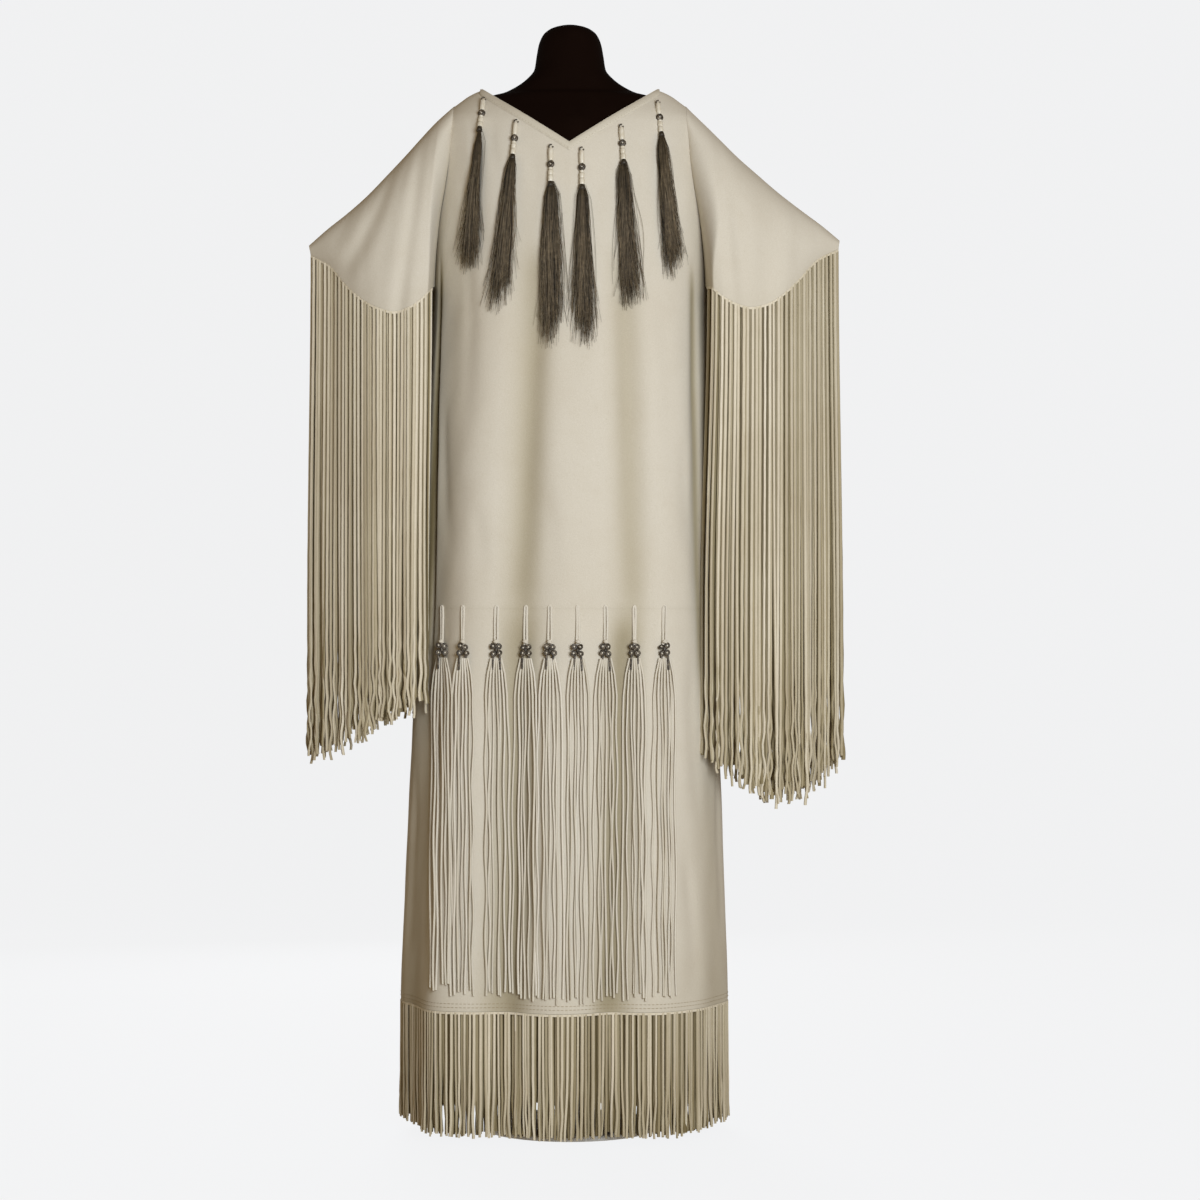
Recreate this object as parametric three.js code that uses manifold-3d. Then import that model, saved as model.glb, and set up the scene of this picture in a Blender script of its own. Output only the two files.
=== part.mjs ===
// A fringed leather dress on a limbless dress form, in millimetres, +Z up.
// The dress faces -Y and +X is on the viewer's right. The origin is the middle of the
// stand's underside. The dress is cut as a T-shaped bodice with cape sleeves and a skirt,
// and every hide panel is a wall worked out from the sections and folds listed below.
import * as THREE from 'three';
import Module from 'manifold-3d';
import { mergeVertices } from 'three/addons/utils/BufferGeometryUtils.js';

const wasm = await Module();
wasm.setup();

// ---------------------------------------------------------------- driving sizes
const hide = 2;               // thickness of the leather panels
const seamGap = 0.4;          // air between two pieces at a seam
const hemZ = 181;             // lower edge of the skirt
const hipSeamZ = 727;         // seam between bodice and skirt
const underarmZ = 1175;       // lowest point of the armholes
const shoulderZ = 1429;       // where the armhole crosses the shoulder ridge
const neckPointZ = 1456;      // where the neckline crosses the shoulder ridge
const vPointZ = 1376;         // lowest point of the V neck
const backNeckDrop = 15;      // how far the back neckline dips below the neck points
const domeZ = 1400;           // above this the sections close over the shoulders
const floorGap = 9;           // air below the hem fringe
const bandDrop = 13;          // height of the bound edge round the neck, straight down
const bandThickness = 1.6;    // thickness of that bound edge
const armholeGap = 1.8;       // air between an armhole and its sleeve
const stripHeight = 8;        // heading strip of every fringe
const stripGap = 0.8;         // air between a panel's edge and the strip below it
const bandLift = 1.0;         // air between a panel and the bound edge on it

// Sections of the dress at each height: half width, depth to the front and to the back,
// sideways shift of the middle, and how square the section is.
const bodySections = [
  { z: 0, halfWidth: 234, front: 172, back: 162, centre: -9, square: 0.05 },
  { z: 181, halfWidth: 230, front: 166, back: 156, centre: -8, square: 0.05 },
  { z: 389, halfWidth: 222, front: 156, back: 147, centre: -7, square: 0.05 },
  { z: 560, halfWidth: 215, front: 147, back: 138, centre: -6, square: 0.05 },
  { z: 727, halfWidth: 208, front: 139, back: 129, centre: -4, square: 0.05 },
  { z: 960, halfWidth: 199, front: 131, back: 118, centre: -2, square: 0.05 },
  { z: 1175, halfWidth: 190, front: 126, back: 110, centre: 0, square: 0.04 },
  { z: 1270, halfWidth: 188, front: 121, back: 107, centre: 0, square: 0.03 },
  { z: 1330, halfWidth: 187, front: 114, back: 102, centre: 0, square: 0.015 },
  { z: 1368, halfWidth: 186.5, front: 104, back: 94, centre: 0, square: 0 },
  { z: 1400, halfWidth: 184, front: 90, back: 82, centre: 0, square: 0 },
  { z: 1411, halfWidth: 180, front: 83, back: 76, centre: 0, square: 0 },
  { z: 1420, halfWidth: 172, front: 76, back: 70, centre: 0, square: 0 },
  { z: 1428, halfWidth: 163.5, front: 69, back: 64, centre: 0, square: 0 },
  { z: 1436, halfWidth: 153, front: 62, back: 58, centre: 0, square: 0 },
  { z: 1445, halfWidth: 140, front: 55, back: 52, centre: 0, square: 0 },
  { z: 1453, halfWidth: 121, front: 47, back: 45, centre: 0, square: 0 },
  { z: 1456, halfWidth: 103, front: 43, back: 41, centre: 0, square: 0 },
];

// Long soft folds. Angles run from the front middle, positive towards +X. A depth above
// zero sinks a trough and below zero lifts a ridge, at the chest, the hip seam and the hem.
const folds = [
  { chestAngle: -0.33, hipAngle: -0.34, hemAngle: -0.35, width: 0.15, chest: 2, hip: 6, hem: 15 },
  { chestAngle: 0.02, hipAngle: 0.02, hemAngle: -0.03, width: 0.20, chest: 0, hip: -3, hem: -8 },
  { chestAngle: 0.44, hipAngle: 0.42, hemAngle: 0.30, width: 0.14, chest: 1.5, hip: 5, hem: 14 },
  { chestAngle: 0.66, hipAngle: 0.62, hemAngle: 0.56, width: 0.19, chest: 0, hip: -2, hem: -7 },
  { chestAngle: -0.60, hipAngle: -0.64, hemAngle: -0.76, width: 0.18, chest: -2, hip: -5, hem: -11 },
  { chestAngle: -0.92, hipAngle: -1.02, hemAngle: -1.17, width: 0.24, chest: 5, hip: 8, hem: 12 },
  { chestAngle: 1.10, hipAngle: 1.12, hemAngle: 1.15, width: 0.22, chest: 0, hip: 3, hem: 8 },
  { chestAngle: 1.95, hipAngle: 1.92, hemAngle: 1.90, width: 0.20, chest: 0, hip: 4, hem: 10 },
  { chestAngle: 2.30, hipAngle: 2.28, hemAngle: 2.25, width: 0.18, chest: 0, hip: -3, hem: -9 },
  { chestAngle: 2.66, hipAngle: 2.63, hemAngle: 2.60, width: 0.16, chest: 2, hip: 6, hem: 14 },
  { chestAngle: 3.00, hipAngle: 3.02, hemAngle: 3.05, width: 0.20, chest: 0, hip: -3, hem: -8 },
  { chestAngle: -2.80, hipAngle: -2.80, hemAngle: -2.76, width: 0.15, chest: 2, hip: 6, hem: 14 },
  { chestAngle: -2.45, hipAngle: -2.42, hemAngle: -2.38, width: 0.18, chest: 0, hip: -3, hem: -9 },
  { chestAngle: -1.95, hipAngle: -1.98, hemAngle: -2.02, width: 0.20, chest: 1, hip: 5, hem: 11 },
];
const foldChestZ = 1230;      // the folds have their chest depth here and fade out above
const foldFadeZ = 1390;

// Cape sleeves. Share runs from the armhole, 0, to the outer tip, 1. The ridge runs over the
// top of the arm, the edge is the fringed lower edge, and front and back are its depths.
const sleeveTables = {
  left: [
    { share: 0, ridgeX: 162, ridgeZ: 1429, edgeX: 187, edgeZ: 1172, front: 92, back: 84 },
    { share: 0.12, ridgeX: 184, ridgeZ: 1409, edgeX: 200, edgeZ: 1155, front: 99, back: 90 },
    { share: 0.25, ridgeX: 210, ridgeZ: 1381, edgeX: 218, edgeZ: 1142, front: 102, back: 93 },
    { share: 0.38, ridgeX: 234, ridgeZ: 1355, edgeX: 241, edgeZ: 1135, front: 99, back: 91 },
    { share: 0.5, ridgeX: 258, ridgeZ: 1329, edgeX: 263, edgeZ: 1141, front: 92, back: 85 },
    { share: 0.62, ridgeX: 284, ridgeZ: 1303, edgeX: 286, edgeZ: 1154, front: 80, back: 75 },
    { share: 0.75, ridgeX: 311, ridgeZ: 1279, edgeX: 308, edgeZ: 1174, front: 62, back: 59 },
    { share: 0.88, ridgeX: 340, ridgeZ: 1257, edgeX: 333, edgeZ: 1203, front: 39, back: 38 },
    { share: 1, ridgeX: 365, ridgeZ: 1235, edgeX: 362, edgeZ: 1221, front: 14, back: 14 },
  ],
  right: [
    { share: 0, ridgeX: 162, ridgeZ: 1429, edgeX: 188, edgeZ: 1176, front: 92, back: 84 },
    { share: 0.12, ridgeX: 184, ridgeZ: 1407, edgeX: 203, edgeZ: 1162, front: 99, back: 90 },
    { share: 0.25, ridgeX: 212, ridgeZ: 1379, edgeX: 224, edgeZ: 1148, front: 102, back: 93 },
    { share: 0.38, ridgeX: 239, ridgeZ: 1353, edgeX: 249, edgeZ: 1141, front: 99, back: 91 },
    { share: 0.5, ridgeX: 266, ridgeZ: 1329, edgeX: 273, edgeZ: 1147, front: 92, back: 85 },
    { share: 0.62, ridgeX: 294, ridgeZ: 1306, edgeX: 296, edgeZ: 1162, front: 80, back: 75 },
    { share: 0.75, ridgeX: 322, ridgeZ: 1284, edgeX: 318, edgeZ: 1184, front: 62, back: 59 },
    { share: 0.88, ridgeX: 353, ridgeZ: 1262, edgeX: 344, edgeZ: 1212, front: 39, back: 38 },
    { share: 1, ridgeX: 377, ridgeZ: 1242, edgeX: 375, edgeZ: 1229, front: 14, back: 14 },
  ],
};
const sleeveRoundness = 2.5;  // superellipse power of the fall over the arm
const lipShare = { left: 0.07, right: 0.11 };  // share in which the armhole fold turns forward
const stripStartRow = 2;      // first row of the sleeve that carries the heading strip

// Soft troughs across the sleeves, slanting from the ridge to the edge, depth in percent.
const sleeveFolds = {
  left: [
    { ridgeShare: 0.42, edgeShare: 0.86, width: 0.08, depth: 7 },
    { ridgeShare: 0.2, edgeShare: 0.34, width: 0.06, depth: 4 },
  ],
  right: [
    { ridgeShare: 0.62, edgeShare: 0.48, width: 0.09, depth: 6 },
    { ridgeShare: 0.2, edgeShare: 0.26, width: 0.06, depth: 4 },
  ],
};

// Dress form: half width and depths of its sections, and the shift of their middle in Y.
const formSections = [
  { z: 780, halfWidth: 158, front: 98, back: 100, shift: 0 },
  { z: 860, halfWidth: 166, front: 104, back: 108, shift: 0 },
  { z: 950, halfWidth: 150, front: 98, back: 102, shift: 0 },
  { z: 1040, halfWidth: 126, front: 88, back: 84, shift: 0 },
  { z: 1130, halfWidth: 140, front: 96, back: 86, shift: 0 },
  { z: 1230, halfWidth: 160, front: 107, back: 94, shift: 0 },
  { z: 1350, halfWidth: 176, front: 100, back: 90, shift: 0 },
  { z: 1385, halfWidth: 177, front: 89, back: 81, shift: 0 },
  { z: 1402, halfWidth: 172, front: 79, back: 72, shift: 0 },
  { z: 1416, halfWidth: 162, front: 68, back: 63, shift: 0 },
  { z: 1428, halfWidth: 148, front: 58, back: 55, shift: 0 },
  { z: 1437, halfWidth: 134, front: 52, back: 50, shift: 0 },
  { z: 1444, halfWidth: 111, front: 48, back: 47, shift: 1 },
  { z: 1449, halfWidth: 92, front: 42, back: 44, shift: 2 },
  { z: 1469, halfWidth: 60, front: 47, back: 49, shift: 4 },
  { z: 1482, halfWidth: 50, front: 48, back: 50, shift: 5 },
  { z: 1500, halfWidth: 47, front: 48, back: 50, shift: 5 },
  { z: 1516, halfWidth: 44, front: 46, back: 48, shift: 5 },
  { z: 1530, halfWidth: 38, front: 40, back: 42, shift: 5 },
  { z: 1539, halfWidth: 27, front: 29, back: 31, shift: 5 },
  { z: 1543, halfWidth: 14, front: 15, back: 16, shift: 5 },
];
const stand = { plateRadius: 120, plateHeight: 8, poleRadius: 16 };

// Fringe: number of strands, width, thickness, and the height of the tips along the strip.
const hemFringe = {
  strands: 45, width: 7.5, depth: 1.6, from: 0.005, to: 0.995, sway: 1.5, tipRise: 14,
};
const sleeveFringe = {
  strands: 24, width: 6, depth: 1.6, from: 0.06, to: 0.995, sway: 3, tipRagged: 7,
};
const sleeveTips = {
  left: [
    { share: 0, z: 598 },
    { share: 0.25, z: 578 },
    { share: 0.5, z: 556 },
    { share: 0.75, z: 532 },
    { share: 1, z: 512 },
  ],
  right: [
    { share: 0, z: 520 },
    { share: 0.25, z: 478 },
    { share: 0.5, z: 458 },
    { share: 0.75, z: 470 },
    { share: 1, z: 512 },
  ],
};

// Thong tassels along the hip seam: place across the front and height of the thong ends.
const thongTassels = [
  { x: -175, tipZ: 212 },
  { x: -145, tipZ: 204 },
  { x: -99, tipZ: 203 },
  { x: -59, tipZ: 201 },
  { x: -26, tipZ: 198 },
  { x: 12, tipZ: 197 },
  { x: 50, tipZ: 199 },
  { x: 89, tipZ: 200 },
  { x: 130, tipZ: 204 },
];
const thong = {
  laceWidth: 4, laceDepth: 2, laceTop: 724, ringTop: 678, ringBottom: 665,
  rootBottom: 655, strands: 4, width: 3.4, depth: 1.8, topPitch: 4.2, tipPitch: 7.5,
  ringInner: 3, ringOuter: 7, ringLift: 9.5, standOff: 6.5,
};

// Hair tassels below the neckline: the knot and the middle of the hair's lower end.
const hairTassels = [
  { knotX: -119, knotZ: 1424, endX: -146, endZ: 1196 },
  { knotX: -73, knotZ: 1393, endX: -94, endZ: 1150 },
  { knotX: -25, knotZ: 1358, endX: -27, endZ: 1106 },
  { knotX: 17, knotZ: 1354, endX: 20, endZ: 1100 },
  { knotX: 71, knotZ: 1387, endX: 86, endZ: 1152 },
  { knotX: 122, knotZ: 1422, endX: 144, endZ: 1190 },
];
const hair = {
  beadLength: 46, headLength: 12, headRadius: 3.4, locks: 4, lockWidths: [2.4, 5.5, 7.5, 6.5],
  tipPitch: 8, lockDepth: 5, standOff: 8.5,
};
const beadProfile = [
  { share: 0, radius: 2.2 },
  { share: 0.08, radius: 3.2 },
  { share: 0.42, radius: 3.2 },
  { share: 0.53, radius: 5 },
  { share: 0.64, radius: 3.2 },
  { share: 1, radius: 2.4 },
];

// ---------------------------------------------------------------- small helpers
const halfTurn = Math.PI;
const quarterTurn = Math.PI / 2;
const clamp = THREE.MathUtils.clamp;
const mix = THREE.MathUtils.lerp;
const smooth = THREE.MathUtils.smoothstep;

// A column of a table at a place between its rows, on a curve that never overshoots.
function readTable(table, by, place, column) {
  const last = table.length - 1;
  const rising = table[last][by] > table[0][by];
  const rows = rising ? table : [...table].reverse();
  const at = clamp(place, rows[0][by], rows[last][by]);
  let k = 0;
  while (k < last - 1 && at > rows[k + 1][by]) k += 1;
  const secant = (i) => (rows[i + 1][column] - rows[i][column]) / (rows[i + 1][by] - rows[i][by]);
  const slope = (i) => {
    if (i === 0) return secant(0);
    if (i === last) return secant(last - 1);
    const before = secant(i - 1);
    const after = secant(i);
    return before * after > 0 ? (2 * before * after) / (before + after) : 0;
  };
  const span = rows[k + 1][by] - rows[k][by];
  const t = (at - rows[k][by]) / span;
  const h = t * t * (3 - 2 * t);
  return rows[k][column] * (1 - h) + rows[k + 1][column] * h
    + span * slope(k) * t * (1 - t) * (1 - t) - span * slope(k + 1) * t * t * (1 - t);
}

const section = (z, column) => readTable(bodySections, 'z', z, column);

// How far the folds push the hide inwards at an angle and height.
function foldDepth(angle, z) {
  const above = z > hipSeamZ;
  const t = above ? clamp((z - hipSeamZ) / (foldChestZ - hipSeamZ), 0, 1)
    : clamp((hipSeamZ - z) / (hipSeamZ - hemZ), 0, 1);
  const fade = 1 - smooth(z, foldChestZ, foldFadeZ);
  let depth = 0;
  for (const fold of folds) {
    const middle = mix(fold.hipAngle, above ? fold.chestAngle : fold.hemAngle, t);
    const height = mix(fold.hip, above ? fold.chest : fold.hem, t);
    let away = angle - middle;
    away -= 2 * halfTurn * Math.round(away / (2 * halfTurn));
    depth += height * Math.exp(-((away / fold.width) ** 2));
  }
  return depth * fade;
}

// A point on the outside of the dress. The angle runs from the front middle, and above the
// dome height it names the same place across the dress, so that columns stay upright.
function bodyPoint(angle, z) {
  const halfWidth = section(z, 'halfWidth');
  const across = Math.sin(angle) * section(Math.min(z, domeZ), 'halfWidth');
  const sine = clamp(across / halfWidth, -1, 1);
  const cosine = Math.sqrt(1 - sine * sine) * (Math.cos(angle) < 0 ? -1 : 1);
  const depth = section(z, cosine < 0 ? 'back' : 'front');
  const square = 1 + section(z, 'square') * (2 * sine * cosine) ** 2;
  const sink = foldDepth(angle, z);
  const normal = new THREE.Vector2(sine / halfWidth, -cosine / depth).normalize();
  return new THREE.Vector3(
    section(z, 'centre') + halfWidth * sine * square - normal.x * sink,
    -depth * cosine * square - normal.y * sink,
    z,
  );
}

// The outward normal of the dress at an angle and height.
function bodyNormal(angle, z) {
  const step = 0.02;
  const along = bodyPoint(angle + step, z).sub(bodyPoint(angle - step, z));
  const up = bodyPoint(angle, z + 2).sub(bodyPoint(angle, z - 2));
  return along.cross(up).normalize();
}

// The angle at which the front of the dress has a given place across it.
function frontAngle(x, z) {
  let low = -quarterTurn;
  let high = quarterTurn;
  for (let k = 0; k < 30; k += 1) {
    const middle = (low + high) / 2;
    if (bodyPoint(middle, z).x < x) low = middle;
    else high = middle;
  }
  return (low + high) / 2;
}

// A point in front of the dress, straight ahead of the hide and a lift clear of it.
function inFront(x, z, lift) {
  const angle = frontAngle(x, z);
  const point = bodyPoint(angle, z);
  point.y -= lift / Math.max(0.4, -bodyNormal(angle, z).y);
  return point;
}

// ---------------------------------------------------------------- solids
function geometryFrom(points, triangles) {
  let volume = 0;
  const cross = new THREE.Vector3();
  for (const [a, b, c] of triangles) {
    volume += points[a].dot(cross.crossVectors(points[b], points[c]));
  }
  const facing = volume < 0 ? triangles.map(([a, b, c]) => [a, c, b]) : triangles;
  const geometry = new THREE.BufferGeometry().setFromPoints(points);
  geometry.setIndex(facing.flat());
  return geometry;
}

// Normals of a grid of points, from its neighbours along rows and columns.
function gridNormals(grid) {
  const rows = grid.length;
  const columns = grid[0].length;
  return grid.map((row, j) => row.map((_, i) => {
    const along = grid[j][Math.min(i + 1, columns - 1)].clone().sub(grid[j][Math.max(i - 1, 0)]);
    const down = grid[Math.min(j + 1, rows - 1)][i].clone().sub(grid[Math.max(j - 1, 0)][i]);
    return along.cross(down).normalize();
  }));
}

// Closes a grid of outer points and one of inner points into a wall with four rims.
function wallBetween(outer, inner) {
  const rows = outer.length;
  const columns = outer[0].length;
  const points = [...outer.flat(), ...inner.flat()];
  const half = rows * columns;
  const at = (j, i) => j * columns + i;
  const triangles = [];
  const quad = (a, b, c, d) => triangles.push([a, b, c], [a, c, d]);
  for (let j = 0; j < rows - 1; j += 1) {
    for (let i = 0; i < columns - 1; i += 1) {
      quad(at(j, i), at(j + 1, i), at(j + 1, i + 1), at(j, i + 1));
      quad(half + at(j, i), half + at(j, i + 1), half + at(j + 1, i + 1), half + at(j + 1, i));
    }
  }
  for (let i = 0; i < columns - 1; i += 1) {
    quad(at(0, i), at(0, i + 1), half + at(0, i + 1), half + at(0, i));
    quad(at(rows - 1, i + 1), at(rows - 1, i), half + at(rows - 1, i), half + at(rows - 1, i + 1));
  }
  for (let j = 0; j < rows - 1; j += 1) {
    quad(at(j + 1, 0), at(j, 0), half + at(j, 0), half + at(j + 1, 0));
    quad(at(j, columns - 1), at(j + 1, columns - 1), half + at(j + 1, columns - 1),
      half + at(j, columns - 1));
  }
  return geometryFrom(points, triangles);
}

// Joins rings of the same number of points into one solid with flat ends.
function loftRings(rings) {
  const sides = rings[0].length;
  const points = rings.flat();
  const triangles = [];
  for (let j = 0; j < rings.length - 1; j += 1) {
    for (let i = 0; i < sides; i += 1) {
      const next = (i + 1) % sides;
      const a = j * sides + i;
      const b = j * sides + next;
      triangles.push([a, b, b + sides], [a, b + sides, a + sides]);
    }
  }
  const last = (rings.length - 1) * sides;
  for (let i = 1; i < sides - 1; i += 1) {
    triangles.push([0, i + 1, i], [last, last + i, last + i + 1]);
  }
  return geometryFrom(points, triangles);
}

// A strand with the given number of sides along a falling path. Each path point has a width.
function strandGeometry(path, across, depth, sides) {
  const outward = new THREE.Vector3(across.y, -across.x, 0);
  const rings = path.map(({ point, width }) => {
    const ring = [];
    for (let i = 0; i < sides; i += 1) {
      const turn = (2 * halfTurn * (i + 0.5)) / sides;
      const reach = sides === 4 ? Math.SQRT1_2 : 0.58;
      ring.push(point.clone()
        .addScaledVector(across, Math.cos(turn) * width * reach)
        .addScaledVector(outward, Math.sin(turn) * depth * reach));
    }
    return ring;
  });
  return loftRings(rings);
}

function solidFrom(geometry) {
  const bare = geometry.clone();
  bare.deleteAttribute('normal');
  bare.deleteAttribute('uv');
  const merged = mergeVertices(bare, 1e-4);
  return new wasm.Manifold(new wasm.Mesh({
    numProp: 3,
    vertProperties: new Float32Array(merged.attributes.position.array),
    triVerts: new Uint32Array(merged.index.array),
  }));
}

function fuse(geometries) {
  const mesh = wasm.Manifold.union(geometries.map(solidFrom)).getMesh();
  return new THREE.BufferGeometry()
    .setAttribute('position', new THREE.BufferAttribute(new Float32Array(mesh.vertProperties), 3))
    .setIndex(new THREE.BufferAttribute(new Uint32Array(mesh.triVerts), 1));
}

// ---------------------------------------------------------------- materials
const finish = (color, roughness, metalness = 0) => (
  new THREE.MeshStandardMaterial({ color, roughness, metalness }));
const leather = finish(0xcdc1ae, 0.9);
const fringeLeather = finish(0xc8b997, 0.88);
const darkHair = finish(0x3b3226, 0.6);
const boneBead = finish(0xe6dcc8, 0.45);
const darkBead = finish(0x2a2320, 0.35);
const formCloth = finish(0x120a08, 0.95);
const steel = finish(0xc9c8c4, 0.5, 0.1);

const dress = new THREE.Group();
dress.name = 'fringed_leather_dress';
function add(name, geometry, material) {
  geometry.deleteAttribute('uv');
  geometry.computeVertexNormals();
  const mesh = new THREE.Mesh(geometry, material);
  mesh.name = name;
  dress.add(mesh);
  return mesh;
}

// ---------------------------------------------------------------- panels
// Turns a grid of outer points into a wall, by moving a copy in along the normals. Along
// the ridge and side seams the wall keeps square to the seam, and rows that meet another
// piece stay level.
function wallFrom(outer, normals, levelRow = () => false) {
  const inner = outer.map((row, j) => row.map((point, i) => {
    const normal = normals[j][i].clone();
    if (Math.abs(point.y) < 0.5) normal.setY(0);
    if (levelRow(j)) normal.setZ(0);
    return point.clone().addScaledVector(normal.normalize(), -hide);
  }));
  return { outer, inner };
}

function parted(wall, shift) {
  for (const row of [...wall.outer, ...wall.inner]) for (const point of row) point.add(shift);
  return wall;
}

// ---------------------------------------------------------------- bodice
const frontAndBack = ['front', 'back'];
const towards = { front: new THREE.Vector3(0, -1, 0), back: new THREE.Vector3(0, 1, 0) };
const placeAngle = (facing, angle) => (facing === 'front' ? angle : halfTurn - angle);
const neckSteps = 7;
const shoulderSteps = 3;
const armholeShares = [0, 0.02, 0.06, 0.13, 0.24, 0.4, 0.6, 0.8, 1];
const bodiceDrops = [0, 4, bandDrop, 28, 50];   // first rows, in mm below the upper edge
const bodiceRowsBelow = 5;

// The armhole edge, from the shoulder ridge at share 0 to the underarm at share 1. It drops
// almost straight at first and then turns in towards the side seam.
function armholePlace(share) {
  const z = mix(shoulderZ, underarmZ, share);
  const ridge = Math.asin(section(shoulderZ, 'halfWidth') / section(domeZ, 'halfWidth'));
  const turnIn = 0.16 * share ** 0.7 + 0.84 * smooth(share, 0.3, 1);
  const shortOfSide = mix(quarterTurn - ridge, 0.15, turnIn);
  return { z, angle: quarterTurn - shortOfSide };
}

// The upper edge of half a bodice panel, from the middle outwards: neckline, shoulder
// ridge, armhole and the little run below the arm to the side seam.
function upperEdge(facing) {
  const neckHalf = section(neckPointZ, 'halfWidth');
  const angleOf = (x) => Math.asin(clamp(x / section(domeZ, 'halfWidth'), -1, 1));
  const edge = [];
  for (let k = 0; k <= neckSteps; k += 1) {
    const t = k / neckSteps;
    if (facing === 'front') {
      const z = t < 1 ? mix(vPointZ, neckPointZ - 6, t / 0.97) : neckPointZ;
      edge.push({ angle: angleOf(neckHalf * t), z });
    } else {
      const turn = quarterTurn * t;
      const z = neckPointZ - backNeckDrop * Math.cos(turn);
      edge.push({ angle: angleOf(neckHalf * Math.sin(turn)), z });
    }
  }
  for (let k = 1; k < shoulderSteps; k += 1) {
    const z = mix(neckPointZ, shoulderZ, (k / shoulderSteps) ** 0.8);
    edge.push({ angle: angleOf(section(z, 'halfWidth')), z });
  }
  edge.push(...armholeShares.map(armholePlace));
  edge.push({ angle: quarterTurn, z: underarmZ - 2 });
  return edge;
}

// Angles of the panel's columns at the hip seam and down the skirt.
const columnCount = neckSteps + shoulderSteps + armholeShares.length;
const lowerAngle = (k) => quarterTurn * (k / columnCount);

// Both halves of a row of places on the body, with the point and the normal at each.
function mirroredRow(half, facing) {
  const at = (sign) => ({ angle, z }) => {
    const turned = placeAngle(facing, sign * angle);
    return { point: bodyPoint(turned, z), normal: bodyNormal(turned, z) };
  };
  return [...half.slice(1).reverse().map(at(-1)), ...half.map(at(1))];
}

function bodyWall(rows, levelRow) {
  const points = rows.map((row) => row.map(({ point }) => point));
  const normals = rows.map((row) => row.map(({ normal }) => normal));
  return { ...wallFrom(points, normals, levelRow), normals };
}

function bodicePanel(facing) {
  const edge = upperEdge(facing);
  const foot = hipSeamZ + seamGap / 2;
  const grid = [];
  const firstRows = bodiceDrops.length;
  for (let j = 0; j < firstRows + bodiceRowsBelow; j += 1) {
    const below = (j - firstRows + 1) / bodiceRowsBelow;
    const half = edge.map((top, k) => {
      const start = bodiceDrops[Math.min(j, firstRows - 1)];
      const z = j < firstRows ? top.z - start : mix(top.z - start, foot, below ** 1.15);
      const down = (top.z - z) / (top.z - foot);
      return { angle: mix(top.angle, lowerAngle(k), smooth(down, 0, 1)), z };
    });
    grid.push(mirroredRow(half, facing));
  }
  const lastRow = grid.length - 1;
  return bodyWall(grid, (j) => j === lastRow);
}

const seamShift = (facing) => towards[facing].clone().multiplyScalar(seamGap / 2);
for (const facing of frontAndBack) {
  const panel = parted(bodicePanel(facing), seamShift(facing));
  add(`bodice_${facing}`, wallBetween(panel.outer, panel.inner), leather);

  // The bound edge lies on the panel's first rows, from neck point to neck point.
  const side = columnCount - neckSteps;
  const rows = [0, 1, 2];
  const ends = 2 * neckSteps;
  const lifted = (lift) => rows.map((j) => panel.outer[j].slice(side, side + ends + 1)
    .map((point, i) => {
      const normal = panel.normals[j][side + i].clone();
      if (j === 0 && (i === 0 || i === ends)) normal.setY(0).normalize();
      return point.clone().addScaledVector(normal, lift);
    }));
  add(`neck_band_${facing}`, wallBetween(lifted(bandLift + bandThickness), lifted(bandLift)), leather);
}

// ---------------------------------------------------------------- skirt
const skirtRows = 5;
const skirtColumns = 20;      // from the middle to a side seam
const skirtEdges = {};
for (const facing of frontAndBack) {
  const grid = [];
  for (let j = 0; j <= skirtRows; j += 1) {
    const z = mix(hipSeamZ - seamGap / 2, hemZ, j / skirtRows);
    const half = Array.from({ length: skirtColumns + 1 }, (_, k) => (
      { angle: quarterTurn * (k / skirtColumns), z }));
    grid.push(mirroredRow(half, facing));
  }
  const panel = parted(bodyWall(grid, () => true), seamShift(facing));
  skirtEdges[facing] = { outer: panel.outer[skirtRows], inner: panel.inner[skirtRows] };
  add(`skirt_${facing}`, wallBetween(panel.outer, panel.inner), leather);
}

// ---------------------------------------------------------------- fringe
// A heading strip parted from a panel's edge, with strands hanging from it. The tip height
// depends on the share of the way along the strip.
function fringe(edge, { strands, width, depth, from, to, sway }, tipHeight) {
  const lowered = (line, other, drop) => line.map((point, i) => (
    point.clone().setZ(Math.min(point.z, other[i].z) - stripGap - drop)));
  const strip = wallBetween(
    [lowered(edge.outer, edge.inner, 0), lowered(edge.outer, edge.inner, stripHeight)],
    [lowered(edge.inner, edge.outer, 0), lowered(edge.inner, edge.outer, stripHeight)],
  );
  const middle = lowered(edge.outer, edge.inner, stripHeight).map((point, i) => (
    point.clone().add(edge.inner[i].clone().setZ(point.z)).multiplyScalar(0.5)));
  const line = new THREE.CatmullRomCurve3(middle, false, 'centripetal');
  const pieces = [strip];
  for (let k = 0; k < strands; k += 1) {
    const share = mix(from, to, (k + 0.5) / strands);
    const root = line.getPointAt(share);
    const across = line.getTangentAt(share).setZ(0).normalize();
    const tip = tipHeight(share, k);
    const shift = sway * Math.sin(2.4 * k);
    const place = (down, size) => ({
      point: root.clone().addScaledVector(across, shift * down * down)
        .setZ(mix(root.z + stripHeight / 2, tip, down)),
      width: width * size,
    });
    pieces.push(strandGeometry([place(0, 1), place(1, 0.8)], across, depth, 3));
  }
  return fuse(pieces);
}

for (const facing of frontAndBack) {
  const rise = (share, k) => floorGap + hemFringe.tipRise * (0.5 + 0.5 * Math.sin(1.7 * k))
    * (0.4 + 0.6 * Math.abs(2 * share - 1));
  add(`hem_fringe_${facing}`, fringe(skirtEdges[facing], hemFringe, rise), fringeLeather);
}

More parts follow.
